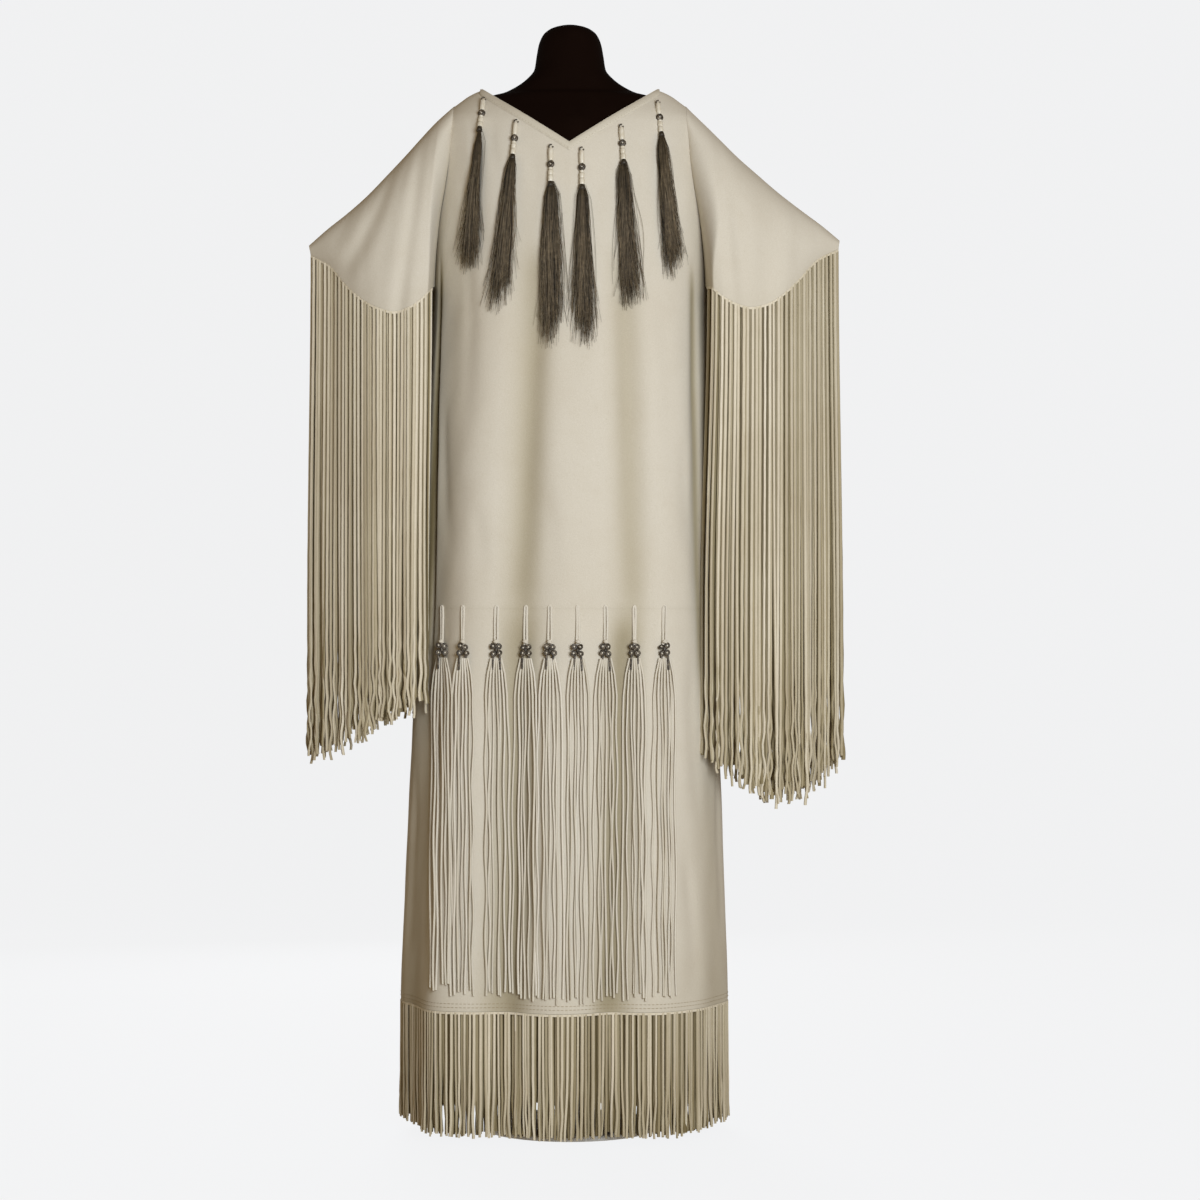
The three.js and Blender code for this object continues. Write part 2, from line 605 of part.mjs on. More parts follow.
// ---------------------------------------------------------------- sleeves
const sideSign = { left: -1, right: 1 };
const sleeveShares = [0, 0.02, 0.045, 0.07, 0.12, 0.2, 0.3, 0.41, 0.53, 0.65, 0.77, 0.89, 1];

// The armhole's point in one half, moved clear of the bodice's edge in the hide's surface.
function armholeStart(facing, share) {
  const { angle, z } = armholePlace(share);
  const turned = placeAngle(facing, angle);
  const near = (step) => {
    const place = armholePlace(clamp(share + step, 0, 1));
    return bodyPoint(placeAngle(facing, place.angle), place.z);
  };
  const tangent = near(0.02).sub(near(-0.02));
  const away = tangent.cross(bodyNormal(turned, z));
  if (away.x < 0) away.negate();
  if (share === 0) away.setY(0);
  return bodyPoint(turned, z).addScaledVector(away.normalize(), armholeGap);
}

// A point of a sleeve at a share of the way out and a share of the fall from the ridge to
// the edge. Near the armhole the wall leaves the armhole's edge and turns forward.
function sleevePoint(side, facing, share, down) {
  const cell = (column) => readTable(sleeveTables[side], 'share', share, column);
  const forward = (1 - (1 - down) ** sleeveRoundness) ** (1 / sleeveRoundness);
  let depth = facing === 'front' ? -cell('front') : cell('back');
  for (const fold of sleeveFolds[side]) {
    const away = (share - mix(fold.ridgeShare, fold.edgeShare, down)) / fold.width;
    depth *= 1 - (fold.depth / 100) * Math.exp(-away * away);
  }
  const tent = new THREE.Vector3(
    mix(cell('ridgeX'), cell('edgeX'), down),
    depth * forward,
    mix(cell('ridgeZ'), cell('edgeZ'), down),
  );
  const point = armholeStart(facing, down).lerp(tent, smooth(share, 0, lipShare[side]));
  point.x *= sideSign[side];
  return point;
}

for (const side of ['left', 'right']) {
  const grid = sleeveShares.map((share) => [
    ...[...armholeShares].reverse().map((down) => sleevePoint(side, 'front', share, down)),
    ...armholeShares.slice(1).map((down) => sleevePoint(side, 'back', share, down)),
  ]);
  const normals = gridNormals(grid);
  const ridge = normals[grid.length >> 1][grid[0].length >> 1];
  if (ridge.z < 0) for (const row of normals) for (const normal of row) normal.negate();
  const wall = wallFrom(grid, normals);
  add(`sleeve_${side}`, wallBetween(wall.outer, wall.inner), leather);

  const columns = { front: 0, back: grid[0].length - 1 };
  for (const facing of frontAndBack) {
    const line = (points) => points.slice(stripStartRow).map((row) => row[columns[facing]]);
    const edge = { outer: line(wall.outer), inner: line(wall.inner) };
    const tips = (share, k) => readTable(sleeveTips[side], 'share', share, 'z')
      + sleeveFringe.tipRagged * Math.sin(2.9 * k);
    add(`sleeve_fringe_${side}_${facing}`, fringe(edge, sleeveFringe, tips), fringeLeather);
  }
}

// ---------------------------------------------------------------- thong tassels and beads
const acrossX = new THREE.Vector3(1, 0, 0);

function thongTassel({ x, tipZ }) {
  const { laceTop, ringTop, ringBottom, rootBottom } = thong;
  const ringZ = (ringTop + ringBottom) / 2;
  const hang = inFront(x, ringZ, thong.ringLift);
  const at = (z, width, lift) => ({ point: inFront(x, z, lift), width });
  const straight = (z, width) => ({ point: new THREE.Vector3(hang.x, hang.y, z), width });
  const lace = strandGeometry(
    [at(laceTop, thong.laceWidth, 3), straight(ringTop + 4, thong.laceWidth),
      straight(rootBottom + 2, thong.laceWidth)],
    acrossX, thong.laceDepth, 4,
  );
  const headWidth = thong.topPitch * thong.strands;
  const head = strandGeometry(
    [straight(ringBottom - 1, 5), straight(rootBottom + 4, headWidth),
      straight(rootBottom - 4, headWidth)],
    acrossX, 3.4, 4,
  );
  const strands = Array.from({ length: thong.strands }, (_, k) => {
    const place = k - (thong.strands - 1) / 2;
    const heights = [rootBottom, 520, 370, tipZ + 6 * Math.sin(2 * k + x)];
    return strandGeometry(heights.map((z, i) => {
      const down = i / (heights.length - 1);
      const px = x + place * mix(thong.topPitch, thong.tipPitch, smooth(down, 0, 0.6));
      const lift = thong.standOff;
      const point = i === 0 ? new THREE.Vector3(px, hang.y, z) : inFront(px, z, lift);
      return { point, width: thong.width };
    }), acrossX, thong.depth, 3);
  });
  return fuse([lace, head, ...strands]);
}

function beadCluster({ x }) {
  const { ringTop, ringBottom, ringInner, ringOuter } = thong;
  const hang = inFront(x, (ringTop + ringBottom) / 2, thong.ringLift);
  const profile = [
    [ringInner, ringBottom], [ringOuter - 2.5, ringBottom],
    [ringOuter, (ringTop + ringBottom) / 2], [ringOuter - 2.5, ringTop],
    [ringInner, ringTop], [ringInner, ringBottom],
  ].map(([radius, z]) => new THREE.Vector2(radius, z));
  return new THREE.LatheGeometry(profile, 8).rotateX(quarterTurn)
    .translate(hang.x, hang.y, 0);
}

thongTassels.forEach((row, k) => {
  add(`thong_tassel_${k + 1}`, thongTassel(row), fringeLeather);
  add(`bead_cluster_${k + 1}`, beadCluster(row), darkBead);
});

// ---------------------------------------------------------------- hair tassels and drops
function roundAlong(start, end, profile, sides) {
  const axis = end.clone().sub(start);
  const length = axis.length();
  axis.normalize();
  const sideways = new THREE.Vector3(0, 1, 0).cross(axis).normalize();
  const upright = axis.clone().cross(sideways);
  const rings = profile.map(({ share, radius }) => (
    Array.from({ length: sides }, (_, i) => {
      const turn = (2 * halfTurn * i) / sides;
      return start.clone().addScaledVector(axis, share * length)
        .addScaledVector(sideways, radius * Math.cos(turn))
        .addScaledVector(upright, radius * Math.sin(turn));
    })));
  return loftRings(rings);
}

function hairTassel({ knotX, knotZ, endX, endZ }, index) {
  const full = Math.hypot(endX - knotX, endZ - knotZ);
  const place = (t, aside = 0) => (
    inFront(mix(knotX, endX, t) + aside, mix(knotZ, endZ, t), hair.standOff));
  const start = place(0);
  const beadEnd = place(hair.beadLength / full);
  const axis = beadEnd.clone().sub(start).normalize();
  const headStart = beadEnd.clone().addScaledVector(axis, seamGap);
  const headEnd = headStart.clone().addScaledVector(axis, hair.headLength);
  const head = roundAlong(headStart, headEnd, [
    { share: 0, radius: hair.headRadius - 1 }, { share: 0.3, radius: hair.headRadius },
    { share: 1, radius: hair.headRadius + 1 }], 6);
  const rootShare = (hair.beadLength + hair.headLength) / full;
  const locks = Array.from({ length: hair.locks }, (_, k) => {
    const spread = k - (hair.locks - 1) / 2;
    return strandGeometry(hair.lockWidths.map((width, i) => {
      const down = i / (hair.lockWidths.length - 1);
      const aside = spread * mix(1.2, hair.tipPitch, smooth(down, 0, 1));
      const point = i === 0
        ? headEnd.clone().addScaledVector(axis, -4).add(new THREE.Vector3(aside, 0, 0))
        : place(mix(rootShare, 1, down), aside);
      point.z += down === 1 ? 5 * Math.sin(3 * k + index) : 0;
      return { point, width };
    }), acrossX, hair.lockDepth, 3);
  });
  add(`bead_drop_${index + 1}`, roundAlong(start, beadEnd, beadProfile, 6), boneBead);
  add(`hair_tassel_${index + 1}`, fuse([head, ...locks]), darkHair);
}
hairTassels.forEach(hairTassel);

// ---------------------------------------------------------------- dress form and stand
const formSides = 20;
const formRings = formSections.map(({ z, halfWidth, front, back, shift }) => (
  Array.from({ length: formSides }, (_, i) => {
    const turn = (2 * halfTurn * i) / formSides;
    const depth = Math.cos(turn) > 0 ? front : back;
    return new THREE.Vector3(halfWidth * Math.sin(turn), shift - depth * Math.cos(turn), z);
  })));
add('torso_form', loftRings(formRings), formCloth);

const lathe = (profile, sides) => new THREE.LatheGeometry(
  profile.map(([radius, z]) => new THREE.Vector2(radius, z)), sides).rotateX(quarterTurn);
const { plateRadius, plateHeight, poleRadius } = stand;
const formFoot = formSections[0].z;
add('stand_pole', lathe([
  [0, plateHeight + seamGap], [poleRadius, plateHeight + seamGap],
  [poleRadius, formFoot - seamGap], [0, formFoot - seamGap]], 12), steel);
add('stand_plate', lathe([
  [0, 0], [plateRadius, 0], [plateRadius, plateHeight - 2],
  [plateRadius - 2, plateHeight], [0, plateHeight]], 28), steel);

export default dress;
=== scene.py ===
import math
import bpy
import numpy as np
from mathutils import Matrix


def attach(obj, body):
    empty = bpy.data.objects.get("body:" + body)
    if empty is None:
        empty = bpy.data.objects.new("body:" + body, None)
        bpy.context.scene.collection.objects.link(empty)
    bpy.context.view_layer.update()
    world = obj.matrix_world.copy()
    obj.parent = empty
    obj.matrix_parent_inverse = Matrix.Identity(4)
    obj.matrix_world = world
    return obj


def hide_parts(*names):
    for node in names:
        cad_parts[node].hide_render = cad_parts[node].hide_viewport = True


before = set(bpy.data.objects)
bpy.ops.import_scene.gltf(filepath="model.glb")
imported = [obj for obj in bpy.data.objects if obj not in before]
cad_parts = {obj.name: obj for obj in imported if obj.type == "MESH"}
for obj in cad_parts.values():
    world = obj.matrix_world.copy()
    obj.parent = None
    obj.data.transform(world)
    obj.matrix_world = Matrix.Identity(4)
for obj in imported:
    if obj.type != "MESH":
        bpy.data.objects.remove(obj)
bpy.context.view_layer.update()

# Fringed leather dress on a limbless dress form, worn front towards -Y, +Z up.
# All sizes below are millimetres and radians, and makePiece turns them into metres.
mm = 0.001
halfTurn = math.pi
quarterTurn = math.pi / 2
draw = np.random.default_rng(41)
print("frame loaded:", len(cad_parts), "nodes")

# camera, floor and lights, in metres
studio = {
    "cameraPlace": (0.042, -4.5, 0.739),
    "lens": 96.4,
    "sensorWidth": 36.0,
    "floorHalfWidth": 6.0,
    "floorFront": -7.0,
    "floorBack": 2.6,
    "sweepRadius": 1.2,
    "wallTop": 5.0,
    "worldColour": (1.0, 0.73, 0.39),     # warm light that comes back from the room
    "worldStrength": 0.22,
    "backdrop": (0.885, 0.885, 0.885),
    "paper": {"Base Color": (0.03, 0.03, 0.03, 1.0), "Roughness": 0.95, "Specular IOR Level": 0.02,
              "Emission Color": (0.985, 0.99, 1.0, 1.0), "Emission Strength": 0.878},
    "lights": [
        {"name": "key", "place": (0.9, -3.4, 1.2), "aim": (0.0, 0.0, 0.95), "size": 1.4,
         "power": 112.0, "colour": (0.87, 0.93, 1.0)},
        {"name": "back", "place": (-0.5, 2.4, 1.15), "aim": (0.0, 0.0, 0.9), "size": 1.3,
         "power": 40.0, "colour": (0.93, 0.96, 1.0)},
    ],
}


# ---- small helpers

# The share t of the way from a to b.
def mix(a, b, t):
    return a + (b - a) * t


# 0 below low, 1 above high, and 3 t squared less 2 t cubed between them.
def smooth(x, low, high):
    t = np.clip((x - low) / (high - low), 0.0, 1.0)
    return t * t * (3 - 2 * t)


# Vectors divided by their lengths.
def unit(vectors):
    return vectors / np.maximum(np.linalg.norm(vectors, axis=-1, keepdims=True), 1e-9)


# Running length of a line of points, zero at its start.
def lengthAlong(line):
    return np.concatenate(([0], np.cumsum(np.linalg.norm(np.diff(line, axis=0), axis=1))))


# The four corners of each cell of a grid of numbers.
def gridQuads(index):
    corners = (index[:-1, :-1], index[1:, :-1], index[1:, 1:], index[:-1, 1:])
    return np.stack(corners, -1).reshape(-1, 4)


# Faces of closed tubes, numbered by tube, ring and side: quads from ring to ring, two caps.
def tubeFaces(index):
    turned = np.roll(index, -1, axis=2)
    sides = np.stack((index[:, :-1], turned[:, :-1], turned[:, 1:], index[:, 1:]), -1)
    return [sides.reshape(-1, 4), np.concatenate((index[:, 0, ::-1], index[:, -1]))]


# Running numbers in the shape of a grid of points.
def numbered(points):
    return np.arange(points[..., 0].size).reshape(points.shape[:-1])


# A value read off a table on a cubic curve whose slopes are harmonic means of the steps
# on either side, so that it never overshoots the rows.
def curveThrough(places, values, at):
    places, values = np.asarray(places, float), np.asarray(values, float)
    if places[-1] < places[0]:
        places, values = places[::-1], values[::-1]
    secants = np.diff(values) / np.diff(places)
    product = secants[:-1] * secants[1:]
    total = secants[:-1] + secants[1:]
    inner = np.where(product > 0, 2 * product / np.where(total == 0, 1, total), 0)
    slopes = np.concatenate((secants[:1], inner, secants[-1:]))
    at = np.clip(at, places[0], places[-1])
    row = np.clip(np.searchsorted(places, at) - 1, 0, len(places) - 2)
    span = places[row + 1] - places[row]
    t = (at - places[row]) / span
    curve = t * t * (3 - 2 * t)
    bend = slopes[row] * t * (1 - t) ** 2 - slopes[row + 1] * t * t * (1 - t)
    return values[row] * (1 - curve) + values[row + 1] * curve + span * bend


# Turns faces over when six times the volume, the sum of a . (b x c), comes out negative.
def facingOut(points, faces):
    volume = 0.0
    for block in faces:
        for k in range(1, block.shape[1] - 1):
            a, b, c = points[block[:, 0]], points[block[:, k]], points[block[:, k + 1]]
            volume += np.einsum("ij,ij->", a, np.cross(b, c))
    return [block[:, ::-1] for block in faces] if volume < 0 else faces


# One solid from several: each has its points, its blocks of faces and a shade per point.
def joined(parts):
    offset = 0
    points, faces, shades = [], [], []
    for partPoints, partFaces, shade in parts:
        points.append(partPoints)
        faces += [block + offset for block in facingOut(partPoints, partFaces)]
        shades.append(np.broadcast_to(shade, len(partPoints)))
        offset += len(partPoints)
    return np.concatenate(points), faces, np.concatenate(shades)


# A piece from its parts: points in mm times 0.001, faces smooth up to the sharp angle,
# and the shade as an attribute of its points.
def makePiece(name, parts, material, replaced=(), sharpAngle=50):
    points, faces, shade = joined(parts)
    corners = np.concatenate([block.ravel() for block in faces]).astype(np.int32)
    sizes = np.concatenate([np.full(len(block), block.shape[1]) for block in faces])
    starts = (np.cumsum(sizes) - sizes).astype(np.int32)
    mesh = bpy.data.meshes.new(name)
    mesh.vertices.add(len(points))
    mesh.vertices.foreach_set("co", (points * mm).astype(np.float32).ravel())
    mesh.loops.add(len(corners))
    mesh.loops.foreach_set("vertex_index", corners)
    mesh.polygons.add(len(sizes))
    mesh.polygons.foreach_set("loop_start", starts)
    mesh.update(calc_edges=True)
    mesh.polygons.foreach_set("use_smooth", np.ones(len(sizes), dtype=bool))
    mesh.set_sharp_from_angle(angle=math.radians(sharpAngle))
    mesh.attributes.new("shade", "FLOAT", "POINT")
    mesh.attributes["shade"].data.foreach_set("value", shade.astype(np.float32))
    mesh.materials.append(material)
    piece = bpy.data.objects.new(name, mesh)
    bpy.context.scene.collection.objects.link(piece)
    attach(piece, "root")
    if replaced:
        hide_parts(*replaced)
    return piece


# A wall: a grid of outer points, one of inner points, and the four rims between them.
def wallPart(outer, inner, shade=1.0):
    index = numbered(outer)
    quads = gridQuads(index)
    rim = np.concatenate((index[0], index[1:, -1], index[-1, -2::-1], index[-2:0:-1, 0]))
    nextRim = np.roll(rim, -1)
    half = index.size
    band = np.stack((rim, nextRim, half + nextRim, half + rim), -1)
    points = np.concatenate((outer.reshape(-1, 3), inner.reshape(-1, 3)))
    if np.ndim(shade):
        shade = np.concatenate((shade.ravel(), shade.ravel()))
    return points, [quads, half + quads[:, ::-1], band], shade


# Strands: a closed profile carried along each path. A corner is the path's point, plus its
# first size times width along side, plus its second size times depth along out.
def sweepPart(paths, side, out, profile, width, depth, shade=1.0, cornerShade=1.0):
    width = np.broadcast_to(width, paths.shape[:2])
    depth = np.broadcast_to(depth, paths.shape[:2])
    side = np.broadcast_to(side, paths.shape)
    out = np.broadcast_to(out, paths.shape)
    rings = (paths[:, :, None, :]
             + (width[:, :, None] * profile[:, 0])[..., None] * side[:, :, None, :]
             + (depth[:, :, None] * profile[:, 1])[..., None] * out[:, :, None, :])
    shades = np.broadcast_to(shade, rings.shape[:2])[..., None] * np.ones(len(profile)) * cornerShade
    return rings.reshape(-1, 3), tubeFaces(numbered(rings)), shades.ravel()


# A circle of diameter 1: half the cosine and half the sine of even turns.
def roundProfile(sides):
    turn = 2 * halfTurn * np.arange(sides) / sides
    return np.stack((np.cos(turn), np.sin(turn)), -1) * 0.5


# the cut section of a thong: flat faces with broken corners, one wide and one deep
thongProfile = np.array([(-0.5, -0.18), (-0.3, -0.5), (0.3, -0.5),
                         (0.5, 0.18), (0.3, 0.5), (-0.3, 0.5)])
paintedEdgeShade = np.array([0.55, 0.9, 1.0, 0.55, 1.0, 0.9])      # painted shade that rounds the flat strands, with a little dirt on the cut: edges darkest, one side's corners a little darker
acrossX, towardsFront = np.array([1.0, 0.0, 0.0]), np.array([0.0, -1.0, 0.0])


# Turned beads: along each start-to-end line, a row of (share of the way, radius) pairs.
def turnedPart(starts, ends, profile, sides=12, shade=1.0):
    starts, ends = np.atleast_2d(starts), np.atleast_2d(ends)
    shares, radii = np.array(profile, float).T
    paths = mix(starts[:, None, :], ends[:, None, :], shares[None, :, None])
    axis = unit(ends - starts)
    helper = np.where(np.abs(axis[:, 1:2]) < 0.9, (0.0, 1.0, 0.0), (1.0, 0.0, 0.0))
    side = unit(np.cross(helper, axis))[:, None, :]
    out = np.cross(axis, side[:, 0])[:, None, :]
    size = np.broadcast_to(2 * radii, paths.shape[:2])
    return sweepPart(paths, side, out, roundProfile(sides), size, size, shade)


ballProfile = [(0.0, 0.12), (0.06, 0.5), (0.2, 0.82), (0.38, 0.98), (0.5, 1.0),
               (0.62, 0.98), (0.8, 0.82), (0.94, 0.5), (1.0, 0.12)]


# Balls or ellipsoids round a centre: the ball profile along Z, with its radii scaled.
def ballPart(centres, radius, halfHeight, sides=10, shade=1.0):
    centres = np.atleast_2d(centres)
    rise = np.array([0.0, 0.0, halfHeight])
    profile = [(share, size * radius) for share, size in ballProfile]
    return turnedPart(centres - rise, centres + rise, profile, sides, shade)


# Ring beads: a circle of the wide radius round each axis, thickened by the narrow radius.
def ringPart(centres, axes, wide, narrow, turns=16, sides=8, shade=1.0):
    centres, axes = np.atleast_2d(centres), unit(np.atleast_2d(axes))
    helper = np.where(np.abs(axes[:, 2:]) < 0.9, (0.0, 0.0, 1.0), (1.0, 0.0, 0.0))
    side = unit(np.cross(helper, axes))
    up = np.cross(axes, side)
    turn = (2 * halfTurn * np.arange(turns) / turns)[None, :, None]
    tilt = 2 * halfTurn * np.arange(sides) / sides
    spoke = np.cos(turn) * side[:, None, :] + np.sin(turn) * up[:, None, :]
    reach = (wide + narrow * np.cos(tilt))[None, None, :, None]
    points = (centres[:, None, None, :] + reach * spoke[:, :, None, :]
              + (narrow * np.sin(tilt))[None, None, :, None] * axes[:, None, None, :])
    index = numbered(points)
    nextTurn, nextSide = np.roll(index, -1, axis=1), np.roll(index, -1, axis=2)
    quads = np.stack((index, nextTurn, np.roll(nextTurn, -1, axis=2), nextSide), -1)
    return points.reshape(-1, 3), [quads.reshape(-1, 4)], shade


# ---- materials

# A shader node, with each input linked or given its value.
def addNode(tree, kind, inputs=(), **settings):
    node = tree.nodes.new(kind)
    for name, value in settings.items():
        setattr(node, name, value)
    for name, value in dict(inputs).items():
        if isinstance(value, bpy.types.NodeSocket):
            tree.links.new(value, node.inputs[name])
        else:
            node.inputs[name].default_value = value
    return node


# Noise from 0 to 1, with its scale in grains a metre.
def noiseNode(tree, place, scale, detail=3.0, roughness=0.55, distortion=0.0):
    inputs = {"Vector": place, "Scale": scale, "Detail": detail, "Roughness": roughness,
              "Distortion": distortion}
    return addNode(tree, "ShaderNodeTexNoise", inputs).outputs["Fac"]


# A value carried straight from one range onto another.
def rangeNode(tree, value, low, high, toLow=0.0, toHigh=1.0):
    inputs = {"Value": value, "From Min": low, "From Max": high, "To Min": toLow,
              "To Max": toHigh}
    return addNode(tree, "ShaderNodeMapRange", inputs).outputs["Result"]


# First times (1 - factor) plus second times factor, or another blend of the two.
def mixNode(tree, factor, first, second, blend="MIX"):
    node = addNode(tree, "ShaderNodeMix", data_type="RGBA", blend_type=blend)
    for socket, value in zip((node.inputs[0], node.inputs[6], node.inputs[7]),
                             (factor, first, second)):
        if isinstance(value, bpy.types.NodeSocket):
            tree.links.new(value, socket)
        else:
            socket.default_value = value
    return node.outputs[2]


# Two values multiplied, or the first raised to the second.
def mathNode(tree, operation, first, second):
    return addNode(tree, "ShaderNodeMath", {0: first, 1: second}, operation=operation).outputs[0]


# The shade that a piece's points carry.
def shadeNode(tree):
    return addNode(tree, "ShaderNodeAttribute", attribute_name="shade").outputs["Fac"]


# A colour with full cover.
def rgba(colour):
    return (*colour, 1.0)


# A colour with others laid over it in turn, each as far as its noise runs through a range.
def layered(tree, colour, rows):
    colour = rgba(colour)
    for noise, low, high, most, over in rows:
        colour = mixNode(tree, rangeNode(tree, noise, low, high, 0.0, most), colour, rgba(over))
    return colour


# A material with constants on its sockets, and the piece's Object coordinates.
def startMaterial(name, settings):
    material = bpy.data.materials.new(name)
    material.use_nodes = True
    tree = material.node_tree
    shader = tree.nodes["Principled BSDF"]
    for socket, value in settings.items():
        shader.inputs[socket].default_value = value
    place = addNode(tree, "ShaderNodeTexCoord").outputs["Object"]
    return material, tree, shader, place


# Bumps in a row: each tilts the normal of the one before by its own height.
def bumpChain(tree, shader, heights):
    normal = None
    for height, strength, distance in heights:
        inputs = {"Height": height, "Strength": strength, "Distance": distance}
        if normal is not None:
            inputs["Normal"] = normal
        normal = addNode(tree, "ShaderNodeBump", inputs).outputs["Normal"]
    tree.links.new(normal, shader.inputs["Normal"])


# Brain-tanned hide: a pale nap with clouds of cream, stains and fine fibres. Its colour is
# the clouds, times the fibres, times the piece's own shade: painted shade in folds, hollows,
# at the sides and between strands, a painted shadow of the sleeve fringe, and soil at edges.
def hideMaterial(name, clean, stained, soilAndShade, clouds, nap, gloss):
    settings = {"Roughness": gloss, "Specular IOR Level": 0.12, "Sheen Weight": 0.08,
                "Sheen Roughness": 0.6, "Sheen Tint": (1.0, 0.96, 0.88, 1.0)}
    material, tree, shader, place = startMaterial(name, settings)
    large = noiseNode(tree, place, clouds, 3.0, 0.5, 0.6)
    middle = noiseNode(tree, place, clouds * 7.5, 4.0, 0.6, 0.3)
    fine = noiseNode(tree, place, nap, 2.0, 0.6)
    speck = noiseNode(tree, place, nap * 0.28, 3.0, 0.75)
    colour = layered(tree, clean, [(large, 0.36, 0.66, 1.0, stained), (middle, 0.5, 0.78, 0.2, soilAndShade)])
    tone = rangeNode(tree, fine, 0.3, 0.7, 0.93, 1.05)
    dots = rangeNode(tree, speck, 0.62, 0.8, 1.0, 0.88)
    amount = mathNode(tree, "MULTIPLY", mathNode(tree, "MULTIPLY", tone, dots), shadeNode(tree))
    # where the hide is darker, by its fibres or by painted shade, it is browner too, which paints
    # warm bounce light into the shade: green and blue fall faster than red
    green = mathNode(tree, "POWER", amount, 1.12)
    blue = mathNode(tree, "POWER", amount, 1.5)
    tint = addNode(tree, "ShaderNodeCombineColor", {0: amount, 1: green, 2: blue})
    colour = mixNode(tree, 1.0, colour, tint.outputs[0], "MULTIPLY")
    tree.links.new(colour, shader.inputs["Base Color"])
    rough = rangeNode(tree, middle, 0.3, 0.7, gloss - 0.06, min(gloss + 0.06, 1.0))
    tree.links.new(rough, shader.inputs["Roughness"])
    bumpChain(tree, shader, [(middle, 0.35, 0.0016), (speck, 0.3, 0.0006), (fine, 0.35, 0.0004)])
    return material


# Hair: dark strands whose colour runs from a near-black brown to a lighter worn brown.
def hairMaterial(name, dark, light):
    settings = {"Roughness": 0.5, "Specular IOR Level": 0.3}
    material, tree, shader, place = startMaterial(name, settings)
    streak = noiseNode(tree, place, 190.0, 3.0, 0.6)
    colour = mixNode(tree, shadeNode(tree), rgba(dark), rgba(light))
    colour = mixNode(tree, rangeNode(tree, streak, 0.35, 0.7, 0.0, 0.5), colour, rgba(dark))
    tree.links.new(colour, shader.inputs["Base Color"])
    bumpChain(tree, shader, [(streak, 0.25, 0.0004)])
    return material


# Bone and shell: cream with growth lines along it and fine dark pores.
def boneMaterial(name, pale, aged):
    settings = {"Roughness": 0.36, "Specular IOR Level": 0.5, "Coat Weight": 0.12,
                "Coat Roughness": 0.3}
    material, tree, shader, place = startMaterial(name, settings)
    stretched = addNode(tree, "ShaderNodeMapping", {"Vector": place, "Scale": (420, 420, 60)})
    lines = noiseNode(tree, stretched.outputs[0], 1.0, 3.0, 0.6)
    pores = noiseNode(tree, place, 700.0, 2.0, 0.7)
    pore = [0.55 * part for part in aged]
    colour = layered(tree, pale, [(lines, 0.4, 0.75, 1.0, aged), (pores, 0.62, 0.78, 0.5, pore)])
    tree.links.new(colour, shader.inputs["Base Color"])
    bumpChain(tree, shader, [(lines, 0.2, 0.0003), (pores, 0.25, 0.0002)])
    return material


# Old metal beads: dark brown-black with worn bright spots.
def metalMaterial(name, dark, worn, metallic, gloss):
    settings = {"Metallic": metallic, "Specular IOR Level": 0.5}
    material, tree, shader, place = startMaterial(name, settings)
    patches = noiseNode(tree, place, 330.0, 4.0, 0.65)
    scratches = noiseNode(tree, place, 60.0, 5.0, 0.7)
    tree.links.new(layered(tree, dark, [(patches, 0.48, 0.72, 1.0, worn)]),
                   shader.inputs["Base Color"])
    rough = rangeNode(tree, scratches, 0.3, 0.7, gloss - 0.1, gloss + 0.14)
    tree.links.new(rough, shader.inputs["Roughness"])
    bumpChain(tree, shader, [(patches, 0.2, 0.0003)])
    return material


# Jersey over the form: a near-black knit with fine ribs round it and a dusty nap.
def jerseyMaterial(name, dark, dusty):
    settings = {"Roughness": 0.95, "Specular IOR Level": 0.03}
    material, tree, shader, place = startMaterial(name, settings)
    ribs = addNode(tree, "ShaderNodeTexWave",
                   {"Vector": place, "Scale": 260.0, "Distortion": 1.2, "Detail": 1.0},
                   bands_direction="Z").outputs["Fac"]
    dust = noiseNode(tree, place, 9.0, 4.0, 0.6)
    fibre = noiseNode(tree, place, 650.0, 2.0, 0.6)
    colour = layered(tree, dark, [(dust, 0.45, 0.75, 1.0, dusty), (fibre, 0.55, 0.8, 0.5, dusty)])
    tree.links.new(colour, shader.inputs["Base Color"])
    bumpChain(tree, shader, [(ribs, 0.15, 0.0003), (fibre, 0.3, 0.0003)])
    return material


finishes = {
    "hide": hideMaterial("brain_tanned_hide", (0.665, 0.615, 0.52), (0.64, 0.585, 0.485),
                         (0.57, 0.50, 0.39), 3.1, 950.0, 0.92),
    "trim": hideMaterial("folded_hide_edge", (0.65, 0.60, 0.50), (0.62, 0.565, 0.465),
                         (0.54, 0.47, 0.36), 5.2, 900.0, 0.9),
    # the cut fringe is yellower than the panels: painted warm light bounced between its close strands
    "fringe": hideMaterial("cut_hide_thongs", (0.73, 0.662, 0.527), (0.666, 0.593, 0.458),
                           (0.56, 0.483, 0.342), 7.4, 820.0, 0.88),
    "sinew": hideMaterial("sinew_stitches", (0.42, 0.34, 0.22), (0.33, 0.26, 0.16),
                          (0.25, 0.19, 0.11), 24.0, 1200.0, 0.7),
    "hair": hairMaterial("dark_horsehair", (0.011, 0.0075, 0.004), (0.28, 0.21, 0.125)),
    "bone": boneMaterial("bone_and_shell", (0.74, 0.69, 0.58), (0.60, 0.52, 0.38)),
    "metal": metalMaterial("tarnished_metal_beads", (0.034, 0.025, 0.016),
                           (0.27, 0.215, 0.15), 0.25, 0.42),
    "jersey": jerseyMaterial("form_jersey", (0.0060, 0.0024, 0.0013), (0.0090, 0.0040, 0.0024)),
    "steel": metalMaterial("satin_pale_steel", (0.58, 0.575, 0.55), (0.64, 0.635, 0.61),
                           0.1, 0.5),
}
print("materials made:", len(finishes))

# ---- the dress's surface

